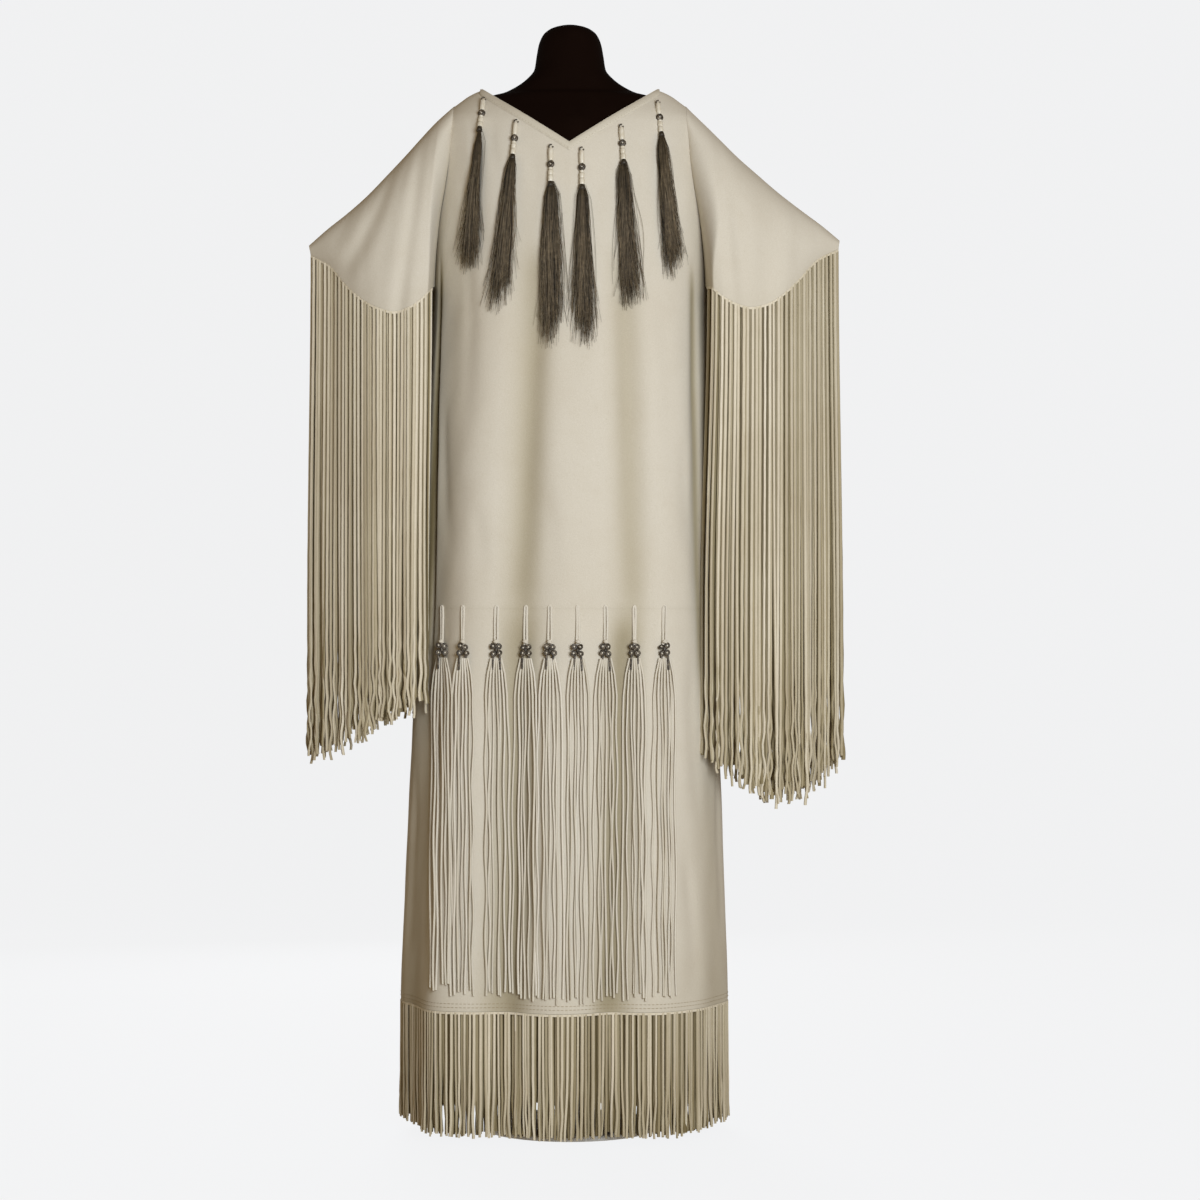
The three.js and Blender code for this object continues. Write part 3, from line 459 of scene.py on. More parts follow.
dress = {
    "hide": 1.8,              # thickness of the panels
    "hemZ": 181.0,
    "hipSeamZ": 727.0,
    "underarmZ": 1175.0,
    "shoulderZ": 1429.0,      # where the armhole crosses the shoulder ridge
    "neckPointZ": 1452.0,
    "vPointZ": 1365.0,
    "backNeckDrop": 15.0,
    "domeZ": 1400.0,          # above this the sections close over the shoulders
    "seamGap": 0.03,          # half the gap between bodice and skirt
    "aroundARadian": 200,     # mm round the body, near enough for creases
    "creaseTop": (1405, 1450),      # creases fade out between these heights
    "ripples": (0.35, 0.25),  # slow waves that keep the hide from being even
    "floorGap": 9.0,
}
bodySections = {
    "z": [0, 181, 389, 560, 727, 960, 1175, 1270, 1330, 1368, 1400, 1411, 1420, 1428, 1436,
          1445, 1453, 1456],
    "halfWidth": [234, 230, 222, 215, 208, 199, 190, 188, 187, 186.5, 184, 180, 172, 163.5,
                  153, 140, 121, 103],
    "front": [172, 166, 156, 147, 139, 131, 126, 121, 114, 104, 90, 83, 76, 69, 62, 55, 47, 43],
    "back": [162, 156, 147, 138, 129, 118, 110, 107, 102, 94, 82, 76, 70, 64, 58, 52, 45, 41],
    "centre": [-9, -8, -7, -6, -4, -2, 0, 0, 0, 0, 0, 0, 0, 0, 0, 0, 0, 0],
    "square": [0.05, 0.05, 0.05, 0.05, 0.05, 0.05, 0.04, 0.03, 0.015, 0, 0, 0, 0, 0, 0, 0, 0, 0],
}
# long folds: depth above zero is a trough, below zero a ridge
folds = [
    # chestAngle, hipAngle, hemAngle, width, chest, hip, hem
    (-0.33, -0.34, -0.35, 0.15, 2, 6, 15),
    (0.02, 0.02, -0.03, 0.20, 0, -3, -8),
    (0.44, 0.42, 0.30, 0.14, 1.5, 5, 14),
    (0.66, 0.62, 0.56, 0.19, 0, -2, -7),
    (-0.60, -0.64, -0.76, 0.18, -2, -5, -11),
    (-0.92, -1.02, -1.17, 0.24, 5, 8, 12),
    (1.10, 1.12, 1.15, 0.22, 0, 3, 8),
    (1.95, 1.92, 1.90, 0.20, 0, 4, 10),
    (2.30, 2.28, 2.25, 0.18, 0, -3, -9),
    (2.66, 2.63, 2.60, 0.16, 2, 6, 14),
    (3.00, 3.02, 3.05, 0.20, 0, -3, -8),
    (-2.80, -2.80, -2.76, 0.15, 2, 6, 14),
    (-2.45, -2.42, -2.38, 0.18, 0, -3, -9),
    (-1.95, -1.98, -2.02, 0.20, 1, 5, 11),
]
foldFade = {"chestZ": 1230.0, "topZ": 1390.0}
# small creases from one place to another: width, depth and sideways bow in mm
creases = [
    # fromAngle, fromZ, toAngle, toZ, width, depth, bow
    (0.00, 1372, 0.00, 1120, 3.5, -0.7, 2),
    (-0.86, 1412, -0.70, 1270, 11, 1.8, 8),
    (-0.62, 1402, -0.52, 1310, 9, 1.0, -5),
    (-0.30, 1372, -0.22, 1250, 13, 1.1, 4),
    (0.82, 1414, 0.66, 1262, 12, 1.9, -9),
    (0.58, 1400, 0.46, 1300, 9, 1.1, 5),
    (0.27, 1370, 0.20, 1240, 14, 1.2, -4),
    (-0.95, 1330, -0.60, 1180, 18, 1.6, 12),
    (0.96, 1320, 0.62, 1160, 17, 1.5, -12),
    (-0.80, 1215, -0.76, 960, 15, 2.4, 8),
    (-0.22, 1215, -0.285, 690, 22, 9.5, -3),
    (-0.285, 730, -0.30, 186, 20, 8.0, 3),
    (-1.22, 1200, -1.09, 600, 6, 9.0, 2),
    (1.06, 1190, 1.00, 640, 13, 5.0, -3),
    (0.39, 1225, 0.46, 690, 19, 8.5, 3),
    (0.40, 730, 0.26, 186, 17, 9.0, 2),
    (-0.47, 1190, -0.50, 1010, 19, -1.6, 3),
    (0.18, 1215, 0.20, 990, 18, -1.5, -4),
    (0.66, 1180, 0.70, 860, 17, 1.5, 10),
    (-1.02, 1010, -0.86, 800, 14, 1.9, -8),
    (-0.13, 900, -0.10, 745, 12, 1.2, 3),
    (0.26, 880, 0.30, 748, 11, 1.3, -3),
    (-0.62, 870, -0.56, 740, 12, 1.5, 4),
    (0.86, 960, 0.96, 760, 14, 1.8, -7),
    (-0.44, 716, -0.52, 500, 11, 1.7, 4),
    (-0.12, 700, -0.16, 430, 13, 1.8, -5),
    (0.16, 712, 0.12, 520, 10, 1.3, 3),
    (0.60, 705, 0.70, 450, 13, 2.0, 6),
    (0.90, 690, 0.98, 380, 15, 2.4, -8),
    (-0.86, 700, -0.96, 420, 14, 2.2, 7),
    (-0.26, 470, -0.18, 195, 11, 2.2, 5),
    (0.04, 430, 0.11, 190, 10, 2.0, -4),
    (0.44, 440, 0.50, 192, 12, 2.4, 4),
    (-0.58, 450, -0.53, 190, 11, 2.0, -6),
    (0.78, 400, 0.84, 188, 13, 2.6, 5),
    (-0.96, 380, -0.92, 190, 13, 2.4, -4),
    (-1.28, 520, -1.36, 200, 16, 2.4, 6),
    (1.34, 560, 1.38, 210, 16, 2.4, -6),
    (2.38, 1400, 2.56, 1260, 12, 1.6, 8),
    (-2.36, 1402, -2.54, 1255, 12, 1.7, -8),
    (3.14, 1436, 3.14, 1180, 4, -0.6, 3),
    (2.86, 1230, 2.88, 960, 17, 2.0, 7),
    (-2.92, 1210, -2.90, 930, 16, 1.9, -6),
    (2.50, 1190, 2.48, 900, 16, 2.0, -8),
    (-2.58, 1170, -2.56, 880, 15, 2.1, 8),
    (2.20, 1080, 2.14, 820, 15, 1.8, 6),
    (-2.22, 1060, -2.16, 800, 15, 1.8, -6),
    (2.78, 715, 2.84, 470, 12, 1.7, 5),
    (-2.66, 705, -2.60, 440, 13, 1.9, -5),
    (3.04, 690, 3.00, 420, 12, 1.5, 4),
    (2.40, 690, 2.34, 400, 14, 2.2, -7),
    (-2.28, 700, -2.22, 410, 14, 2.2, 7),
    (2.72, 450, 2.66, 195, 12, 2.4, 5),
    (-2.94, 440, -2.90, 190, 11, 2.1, -4),
    (-2.50, 430, -2.56, 192, 12, 2.2, 5),
    (2.10, 420, 2.04, 190, 13, 2.4, -5),
]


# A size of the body at a height, off its table.
def section(column, z):
    return curveThrough(bodySections["z"], bodySections[column], z)


# An angle less whole turns, within half a turn of zero.
def wrapped(angle):
    return angle - 2 * halfTurn * np.round(angle / (2 * halfTurn))


# Depth of the folds: a sum of bell curves across the angle, whose middles and heights run
# from the hem by way of the hip to the chest and fade out towards the shoulders.
def foldDepth(angle, z):
    above = z > dress["hipSeamZ"]
    chestRun = (z - dress["hipSeamZ"]) / (foldFade["chestZ"] - dress["hipSeamZ"])
    hemRun = (dress["hipSeamZ"] - z) / (dress["hipSeamZ"] - dress["hemZ"])
    t = np.clip(np.where(above, chestRun, hemRun), 0, 1)
    depth = np.zeros(np.broadcast(angle, z).shape)
    for chestAngle, hipAngle, hemAngle, width, chest, hip, hem in folds:
        middle = mix(hipAngle, np.where(above, chestAngle, hemAngle), t)
        height = mix(hip, np.where(above, chest, hem), t)
        depth += height * np.exp(-(wrapped(angle - middle) / width) ** 2)
    return depth * (1 - smooth(z, foldFade["chestZ"], foldFade["topZ"]))


# Depth of the creases: ripples, plus for each crease a bell curve across a bowed line that
# widens as it goes, faded at both its ends.
def creaseDepth(angle, z):
    broad, narrow = dress["ripples"]
    across = dress["aroundARadian"]
    depth = broad * np.sin(angle * 8.3 + z / 71) * np.sin(z / 47 + angle * 2.1)
    depth = depth + narrow * np.sin(angle * 17 - z / 53) * np.sin(z / 29 - angle * 5)
    for fromAngle, fromZ, toAngle, toZ, width, height, bow in creases:
        runX, runZ = (toAngle - fromAngle) * across, toZ - fromZ
        length = math.hypot(runX, runZ)
        awayX, awayZ = wrapped(angle - fromAngle) * across, z - fromZ
        along = (awayX * runX + awayZ * runZ) / length ** 2
        off = (awayX * runZ - awayZ * runX) / length
        off = off + bow * np.sin(halfTurn * np.clip(along, 0, 1))
        spread = width * (0.8 + 0.5 * np.clip(along, 0, 1))
        fade = smooth(along, -0.08, 0.3) * (1 - smooth(along, 0.6, 1.1))
        depth += height * fade * np.exp(-(off / spread) ** 2)
    return depth


# A point on the outside of the dress: the section's ellipse, squared a little, pushed in
# along its own flat normal by the folds. Columns stay upright above the dome height.
def bodyPoint(angle, z, lift=0.0):
    angle, z = np.broadcast_arrays(np.asarray(angle, float), np.asarray(z, float))
    halfWidth = section("halfWidth", z)
    across = np.sin(angle) * section("halfWidth", np.minimum(z, dress["domeZ"]))
    sine = np.clip(across / halfWidth, -1, 1)
    cosine = np.sqrt(1 - sine ** 2) * np.where(np.cos(angle) < 0, -1, 1)
    depth = np.where(cosine < 0, section("back", z), section("front", z))
    square = 1 + section("square", z) * (2 * sine * cosine) ** 2
    normalX, normalY = sine / halfWidth, -cosine / depth
    size = np.hypot(normalX, normalY)
    fade = 1 - smooth(z, *dress["creaseTop"])
    sink = foldDepth(angle, z) + creaseDepth(angle, z) * fade - lift
    return np.stack((section("centre", z) + halfWidth * sine * square - normalX / size * sink,
                     -depth * cosine * square - normalY / size * sink, z), -1)


# The outward normal, from the steps to the points beside, above and below.
def bodyNormal(angle, z):
    along = bodyPoint(angle + 0.01, z) - bodyPoint(angle - 0.01, z)
    up = bodyPoint(angle, z + 1.0) - bodyPoint(angle, z - 1.0)
    return unit(np.cross(along, up))


# The angle at which the front of the dress has a given place across it, by halving.
def frontAngle(x, z):
    low = np.full(np.shape(x), -quarterTurn)
    high = np.full(np.shape(x), quarterTurn)
    for _ in range(24):
        middle = (low + high) / 2
        short = bodyPoint(middle, z)[..., 0] < x
        low, high = np.where(short, middle, low), np.where(short, high, middle)
    return (low + high) / 2


# A point straight ahead of the hide, a lift clear of it.
def inFront(x, z, lift):
    x, z, lift = np.broadcast_arrays(np.asarray(x, float), np.asarray(z, float), lift)
    angle = frontAngle(x, z)
    point = bodyPoint(angle, z)
    point[..., 1] -= lift / np.maximum(0.45, -bodyNormal(angle, z)[..., 1])
    return point


# ---- bodice, bound neck edge and skirt

bodice = {
    "neckSteps": 7, "shoulderSteps": 3,
    "armholeShares": [0, 0.02, 0.06, 0.13, 0.24, 0.4, 0.6, 0.8, 1],
    "columnsAStep": 5, "fineRows": 20, "fineDrop": 50.0, "rows": 112,
    "seamTurn": 0.08, "seamReach": 3.5,      # how far the panels turn in at the hip seam
}
skirt = {"columns": 171, "rows": 112, "hemTurn": 0.5, "hemReach": 3.0}
lastColumn = bodice["neckSteps"] + bodice["shoulderSteps"] + len(bodice["armholeShares"])


armhole = {"early": 0.16, "earlyPower": 0.7, "lateFrom": 0.3, "shortOfSide": 0.15}


# The armhole: it drops almost straight at first, then turns in towards the side seam.
def armholePlace(share):
    z = mix(dress["shoulderZ"], dress["underarmZ"], share)
    ridge = math.asin(section("halfWidth", dress["shoulderZ"]) / section("halfWidth", dress["domeZ"]))
    early, late = armhole["early"], 1 - armhole["early"]
    turnIn = early * share ** armhole["earlyPower"] + late * smooth(share, armhole["lateFrom"], 1)
    return quarterTurn - mix(quarterTurn - ridge, armhole["shortOfSide"], turnIn), z


# The upper edge of half a panel at a column: neckline, shoulder ridge, armhole, side.
def upperEdge(facing, column):
    domeHalf = section("halfWidth", dress["domeZ"])
    neckHalf = section("halfWidth", dress["neckPointZ"])
    t = np.clip(column / bodice["neckSteps"], 0, 1)
    if facing == "front":
        rise = dress["neckPointZ"] - dress["vPointZ"]
        neckZ = dress["vPointZ"] + rise * (0.96 * t + 0.04 * t ** 8)
        neckAngle = np.arcsin(neckHalf * t / domeHalf)
    else:
        neckZ = dress["neckPointZ"] - dress["backNeckDrop"] * np.cos(quarterTurn * t)
        neckAngle = np.arcsin(neckHalf * np.sin(quarterTurn * t) / domeHalf)
    s = np.clip((column - bodice["neckSteps"]) / bodice["shoulderSteps"], 0, 1)
    ridgeZ = mix(dress["neckPointZ"], dress["shoulderZ"], s ** 0.8)
    ridgeAngle = np.arcsin(np.clip(section("halfWidth", ridgeZ) / domeHalf, -1, 1))
    step = column - bodice["neckSteps"] - bodice["shoulderSteps"]
    shares = bodice["armholeShares"]
    holeAngle, holeZ = armholePlace(np.interp(step, np.arange(len(shares)), shares))
    under = np.clip(step - (len(shares) - 1), 0, 1)
    angle = np.select([column <= bodice["neckSteps"], step <= 0],
                      [neckAngle, ridgeAngle], mix(holeAngle, quarterTurn, under))
    z = np.select([column <= bodice["neckSteps"], step <= 0], [neckZ, ridgeZ], holeZ - 2 * under)
    return angle, z


# On the back, half a turn less the angle.
def facingAngle(facing, angle):
    return angle if facing == "front" else halfTurn - angle


# trough and side paint shade onto a panel; hem is soil, seam a darker line along the hip seam
panelSoilAndShade = {"trough": 0.2, "fullDepth": 12, "side": 0.05, "hem": 0.05, "hemReach": (-300, -181),
             "seam": 0.02, "seamReach": 3}
# painted shade in the long hollows, and painted shadow of the sleeve fringe on the sides
paintedShadeLines = [
    # fromAngle, fromZ, toAngle, toZ, width in mm round the body, amount
    (-0.22, 1240, -0.285, 690, 20.0, 0.25), (0.39, 1240, 0.46, 690, 18.0, 0.17),
    (-0.285, 740, -0.30, 150, 27.0, 0.27), (0.40, 740, 0.26, 150, 21.0, 0.34),
    (2.90, 1200, 2.86, 640, 20.0, 0.22), (-2.70, 1180, -2.66, 300, 22.0, 0.20),
    (-1.19, 1225, -1.17, 600, 8.0, 0.65), (-1.32, 1215, -1.32, 610, 22.0, 0.25),
    (1.05, 1215, 1.02, 600, 9.0, 0.42), (1.25, 1215, 1.25, 560, 22.0, 0.2),
]


# Painted shade and soil of a panel: 1, less a share of the fold's depth as painted shade in
# the troughs, less painted shade at the sides, less soil towards the hem, less a bell curve
# across each painted shade line, so that troughs, sides and hem are darker.
def panelShade(turned, z):
    shade = 1 - panelSoilAndShade["trough"] * np.clip(foldDepth(turned, z) / panelSoilAndShade["fullDepth"], 0, 1)
    shade = shade - panelSoilAndShade["side"] * smooth(np.abs(np.sin(turned)), 0.8, 1.0)
    shade = shade - panelSoilAndShade["hem"] * smooth(-z, *panelSoilAndShade["hemReach"])
    for fromAngle, fromZ, toAngle, toZ, width, amount in paintedShadeLines:
        along = (z - fromZ) / (toZ - fromZ)
        off = (turned - mix(fromAngle, toAngle, along)) * section("halfWidth", z) / width
        fade = smooth(along, 0, 0.1) * (1 - smooth(along, 0.85, 1.05))
        shade = shade - amount * fade * np.exp(-off ** 2)
    return shade


# A panel from its grid of angles and heights. The inner side lies one hide in along the
# normal, and stays square to the ridge and side seams, where two panels meet. The edges turn
# in by the square of their nearness to the hip seam and the hem.
def makePanel(name, facing, angle, z, seamZ, hemTurn=0.0):
    turned = facingAngle(facing, angle)
    fromSeam = np.abs(z - seamZ)
    turnIn = bodice["seamTurn"] * (1 - np.clip(fromSeam / bodice["seamReach"], 0, 1)) ** 2
    turnIn = turnIn + hemTurn * (1 - np.clip((z - dress["hemZ"]) / skirt["hemReach"], 0, 1)) ** 2
    outer = bodyPoint(turned, z, -turnIn)
    normal = bodyNormal(turned, z)
    normal[..., 1] = np.where(np.abs(outer[..., 1]) < 0.5, 0, normal[..., 1])
    shade = panelShade(turned, z) - panelSoilAndShade["seam"] * np.exp(-fromSeam / panelSoilAndShade["seamReach"])
    wall = wallPart(outer, outer - unit(normal) * dress["hide"], shade)
    return makePiece(f"{name}_{facing}_hide", [wall], finishes["hide"], [f"{name}_{facing}"])


for facing in ("front", "back"):
    steps = np.linspace(-lastColumn, lastColumn, 2 * lastColumn * bodice["columnsAStep"] + 1)
    column = np.abs(steps)
    topAngle, topZ = upperEdge(facing, column)
    foot = dress["hipSeamZ"] + dress["seamGap"]
    fine = np.linspace(0, bodice["fineDrop"], bodice["fineRows"])[:, None]
    below = (np.arange(1, bodice["rows"] + 1) / bodice["rows"])[:, None]
    z = np.concatenate((topZ - fine, mix(topZ - bodice["fineDrop"], foot, below)))
    down = (topZ - z) / (topZ - foot)
    lowerAngle = quarterTurn * column / lastColumn
    angle = mix(topAngle, lowerAngle, smooth(down, 0, 1)) * np.sign(steps)
    makePanel("bodice", facing, angle, z, foot)
print("bodice made")

band = {"width": 11.5, "overlap": 1.2, "lift": 0.5, "crown": 1.7, "rows": 13, "columns": 181,
        "lapShare": 0.12, "lapLift": -1.9, "underLift": 0.25}
neckStitch = {"inset": 9.0, "lift": 1.1, "bulge": 0.55, "ends": 3, "pitch": 5.2, "length": 3.2,
              "width": 0.8}
hemStitch = {"rises": [5.5, 10.5], "lifts": [-0.1, 0.35, -0.1], "ends": 4, "pitch": 5.6,
             "length": 3.6, "width": 0.8}


# The bound edge: straight down from the neckline by its width, raised as a low crown,
# and lapped over the raw edge of the panel.
def bandSurface(facing, column, drop, lift):
    angle, topZ = upperEdge(facing, np.abs(column))
    turned = facingAngle(facing, angle * np.sign(column))
    base = bodyPoint(turned, topZ)
    normal = bodyNormal(turned, topZ - np.maximum(drop, 2.0))
    lowered = bodyPoint(turned, topZ - np.maximum(drop, 0))
    lowered[..., 2] += np.maximum(-drop, 0)
    endShare = np.abs(column) >= bodice["neckSteps"] - 1e-6
    normal[..., 1] = np.where(endShare & (np.abs(base[..., 1]) < 0.5), 0, normal[..., 1])
    return lowered + unit(normal) * np.broadcast_to(lift, drop.shape)[..., None]


# Running stitches: at each step of the pitch, values of the run for a start, middle and end.
def stitchPlaces(line, run, style):
    length = lengthAlong(line)
    places = np.arange(style["ends"], length[-1] - style["ends"], style["pitch"])
    ends = places[:, None] + style["length"] * np.array([-0.5, 0.0, 0.5])
    return np.interp(ends, length, run)


# Stitches as round threads: side is away crossed with the thread's own direction.
def stitchPart(paths, away, style):
    tangent = unit(paths[:, 2:] - paths[:, :1])
    return sweepPart(paths, unit(np.cross(away, tangent)), away, roundProfile(5),
                     style["width"], style["width"])


stitchParts = []
for facing in ("front", "back"):
    column = np.linspace(-bodice["neckSteps"], bodice["neckSteps"], band["columns"])[None, :]
    across = np.linspace(0, 1, band["rows"])[:, None]
    drop = mix(-band["overlap"], band["width"], across) * np.ones_like(column)
    crown = 1 - np.abs(2 * across - 1) ** 3
    column = column * np.ones_like(across)
    under = np.where(across < band["lapShare"], band["lapLift"], band["underLift"])
    outer = bandSurface(facing, column, drop, band["lift"] + band["crown"] * crown)
    inner = bandSurface(facing, column, drop, under)
    makePiece(f"neck_edge_{facing}", [wallPart(outer, inner, 0.97)],
                                  finishes["trim"], [f"neck_band_{facing}"])
    run = np.linspace(-bodice["neckSteps"] + 0.1, bodice["neckSteps"] - 0.1, 600)
    line = bandSurface(facing, run, np.full(run.shape, neckStitch["inset"]), 1.5)
    columns = stitchPlaces(line, run, neckStitch)
    lifts = neckStitch["lift"] + np.array([0.0, neckStitch["bulge"], 0.0])
    paths = bandSurface(facing, columns, np.full(columns.shape, neckStitch["inset"]), lifts)
    stitchParts.append(stitchPart(paths, unit(paths[:, 1:2] * (1, 1, 0)), neckStitch))

for facing in ("front", "back"):
    angle = np.linspace(-quarterTurn, quarterTurn, skirt["columns"])[None, :]
    top = dress["hipSeamZ"] - dress["seamGap"]
    z = np.linspace(top, dress["hemZ"], skirt["rows"])[:, None]
    angle, z = np.broadcast_arrays(angle, z)
    makePanel("skirt", facing, angle, z, top, skirt["hemTurn"])
print("skirt made")

# two rows of running stitches just above the hem
run = np.linspace(-quarterTurn, quarterTurn, 900)
for facing in ("front", "back"):
    for rise in hemStitch["rises"]:
        z = dress["hemZ"] + rise
        line = bodyPoint(facingAngle(facing, run), z)
        turned = facingAngle(facing, stitchPlaces(line, run, hemStitch))
        paths = bodyPoint(turned, z, np.array(hemStitch["lifts"]))
        away = bodyNormal(turned[:, 1:2], np.full((len(turned), 1), z))
        stitchParts.append(stitchPart(paths, away, hemStitch))
makePiece("seam_stitches", stitchParts, finishes["sinew"])

# ---- cape sleeves

sleeveTables = {
    "both": {
        "share": [0, 0.12, 0.25, 0.38, 0.5, 0.62, 0.75, 0.88, 1],
        "front": [92, 99, 102, 99, 92, 80, 62, 39, 14],
        "back": [84, 90, 93, 91, 85, 75, 59, 38, 14],
    },
    "left": {
        "ridgeX": [162, 184, 210, 234, 258, 284, 311, 340, 365],
        "ridgeZ": [1429, 1409, 1381, 1355, 1329, 1303, 1279, 1257, 1235],
        "edgeX": [187, 200, 218, 241, 263, 286, 308, 333, 362],
        "edgeZ": [1172, 1155, 1142, 1135, 1141, 1154, 1174, 1203, 1221],
    },
    "right": {
        "ridgeX": [162, 184, 212, 239, 266, 294, 322, 353, 377],
        "ridgeZ": [1429, 1407, 1379, 1353, 1329, 1306, 1284, 1262, 1242],
        "edgeX": [188, 203, 224, 249, 273, 296, 318, 344, 375],
        "edgeZ": [1176, 1162, 1148, 1141, 1147, 1162, 1184, 1212, 1229],
    },
}
sleeve = {"roundness": 2.5, "sign": {"left": -1, "right": 1},
          "lip": {"left": (0.11, 0.07), "right": (0.19, 0.08)},   # at the ridge and the edge
          "lap": 1.0, "lapLift": 0.2, "rows": 126, "columns": 131, "stripHeight": 3.6,
          "stripStart": 0.03, "creaseSize": 0.26, "creaseSpread": 1.6, "ripple": 0.25,
          "seamShade": 0.4, "seamReach": 0.035}
sleeveFolds = {
    # ridgeShare, edgeShare, width, depth in percent
    "left": [(0.42, 0.86, 0.08, 7), (0.2, 0.34, 0.06, 4)],
    "right": [(0.62, 0.48, 0.09, 6), (0.2, 0.26, 0.06, 4)],
}
sleeveCreases = {
    # fromShare, fromFall, toShare, toFall, width, depth; the fall is below zero in front
    "left": [
        (0.10, -0.10, 0.17, -0.75, 0.030, 2.6), (0.30, -0.14, 0.50, -0.85, 0.034, 3.0),
        (0.52, -0.12, 0.70, -0.72, 0.026, 1.8), (0.72, -0.16, 0.86, -0.80, 0.022, 1.4),
        (0.22, -0.45, 0.24, -1.05, 0.030, 2.2), (0.62, -0.50, 0.60, -1.05, 0.026, 1.6),
        (0.12, 0.12, 0.20, 0.78, 0.030, 2.4), (0.36, 0.14, 0.52, 0.90, 0.034, 2.8),
        (0.58, 0.10, 0.72, 0.80, 0.026, 1.7), (0.26, 0.40, 0.30, 1.05, 0.030, 2.0),
    ],
    "right": [
        (0.09, -0.06, 0.15, -0.42, 0.020, 2.6), (0.24, -0.12, 0.27, -0.90, 0.034, 2.4),
        (0.50, -0.12, 0.46, -0.92, 0.032, 2.8), (0.70, -0.14, 0.74, -0.86, 0.026, 1.8),
        (0.36, -0.50, 0.38, -1.05, 0.028, 1.8), (0.84, -0.20, 0.86, -0.95, 0.018, 1.1),
        (0.12, 0.10, 0.18, 0.70, 0.028, 2.2), (0.40, 0.12, 0.44, 0.92, 0.034, 2.6),
        (0.62, 0.12, 0.68, 0.84, 0.026, 1.8), (0.28, 0.42, 0.27, 1.05, 0.028, 1.9),
    ],
}


# Where a sleeve starts: the armhole, lapped over the bodice's edge and lifted off it.
def armholeStart(fall, share, gap, lift):
    def place(at):
        angle, z = armholePlace(np.clip(at, 0, 1))
        turned = np.where(fall > 0, halfTurn - angle, angle)
        return bodyPoint(turned, z), turned, z
    point, turned, z = place(share)
    tangent = place(share + 0.02)[0] - place(share - 0.02)[0]
    normal = bodyNormal(turned, z)
    away = np.cross(tangent, normal)
    away = np.where(away[..., :1] < 0, -away, away)
    ridge = share < 1e-6
    away[..., 1] = np.where(ridge, 0, away[..., 1])
    normal[..., 1] = np.where(ridge, 0, normal[..., 1])
    return point + unit(away) * gap + unit(normal) * lift


# A sleeve's point: from ridge to edge straight across, pushed out to the front or back by
# a superellipse of the fall, and drawn in to the armhole near share 0.
def sleevePoint(side, share, fall):
    share, fall = np.broadcast_arrays(np.asarray(share, float), np.asarray(fall, float))
    table = sleeveTables["both"] | sleeveTables[side]
    cell = {name: curveThrough(table["share"], table[name], share) for name in table}
    down = np.clip(np.abs(fall), 0, 1)
    power = sleeve["roundness"]
    forward = (1 - (1 - down) ** power) ** (1 / power)
    depth = np.where(fall > 0, cell["back"], -cell["front"])
    for ridgeShare, edgeShare, width, percent in sleeveFolds[side]:
        away = (share - mix(ridgeShare, edgeShare, down)) / width
        depth = depth * (1 - percent / 100 * np.exp(-away ** 2))
    tent = np.stack((mix(cell["ridgeX"], cell["edgeX"], down), depth * forward,
                     mix(cell["ridgeZ"], cell["edgeZ"], down)), -1)
    start = armholeStart(fall, down, -sleeve["lap"], sleeve["lapLift"])
    lip = mix(*sleeve["lip"][side], smooth(down, 0.5, 1.0))
    point = mix(start, tent, smooth(share / lip, 0, 1)[..., None])
    point[..., 0] *= sleeve["sign"][side]
    return point


# Depth of a sleeve's creases: bell curves across straight runs, faded at both their ends.
def sleeveCrease(side, share, fall):
    depth = np.zeros(np.broadcast(share, fall).shape)
    for fromShare, fromFall, toShare, toFall, width, height in sleeveCreases[side]:
        along = (fall - fromFall) / (toFall - fromFall)
        off = share - mix(fromShare, toShare, along)
        fade = smooth(along, -0.1, 0.35) * (1 - smooth(along, 0.7, 1.15))
        spread = sleeve["creaseSpread"] * width * (0.8 + 0.5 * np.clip(along, 0, 1))
        depth += sleeve["creaseSize"] * height * fade * np.exp(-(off / spread) ** 2)
    return depth


# Normals of a grid that is higher than its edges: its rows' direction across its columns'.
def gridNormals(grid):
    normal = unit(np.cross(np.gradient(grid, axis=0), np.gradient(grid, axis=1)))
    middle = normal[normal.shape[0] // 2, normal.shape[1] // 2]
    return normal if middle[2] > 0 else -normal


sleeveEdges = {}
for side in ("left", "right"):
    share = np.linspace(0, 1, sleeve["rows"])[:, None] ** 1.25
    across = np.linspace(-1, 1, sleeve["columns"])[None, :]
    fall = np.sign(across) * np.abs(across) ** 2.1
    grid = sleevePoint(side, share, fall)
    normal = gridNormals(grid)
    dent = sleeveCrease(side, share, np.sign(across) * np.abs(across) ** 1.3)
    dent += sleeve["ripple"] * np.sin(share * 23 + fall * 4) * np.sin(fall * 9 + 1.2)
    grid = grid - normal * (dent * smooth(share, 0.03, 0.12))[..., None]
    normal = gridNormals(grid)
    normal[..., 1] = np.where(np.abs(across) < 1e-6, 0, normal[..., 1])
    # painted shade in the valley where the sleeve's front and back meet the bodice at the armhole;
    # darker towards the sleeve's lower edge as wear
    soilAndShade = sleeve["seamShade"] * np.exp(-(share / sleeve["seamReach"]) ** 2)
    shade = 1 - 0.03 * smooth(np.abs(fall), 0.85, 1.0) - soilAndShade * smooth(np.abs(across), 0.45, 0.8)
    inner = grid - unit(normal) * dress["hide"]
    makePiece(f"sleeve_{side}_hide", [wallPart(grid, inner, shade)],
                                   finishes["hide"], [f"sleeve_{side}"])
    for facing, columnIndex in (("front", 0), ("back", -1)):
        kept = share[:, 0] >= sleeve["stripStart"]
        sleeveEdges[side, facing] = (grid[kept, columnIndex], inner[kept, columnIndex])
print("sleeves made")

# ---- cut fringe

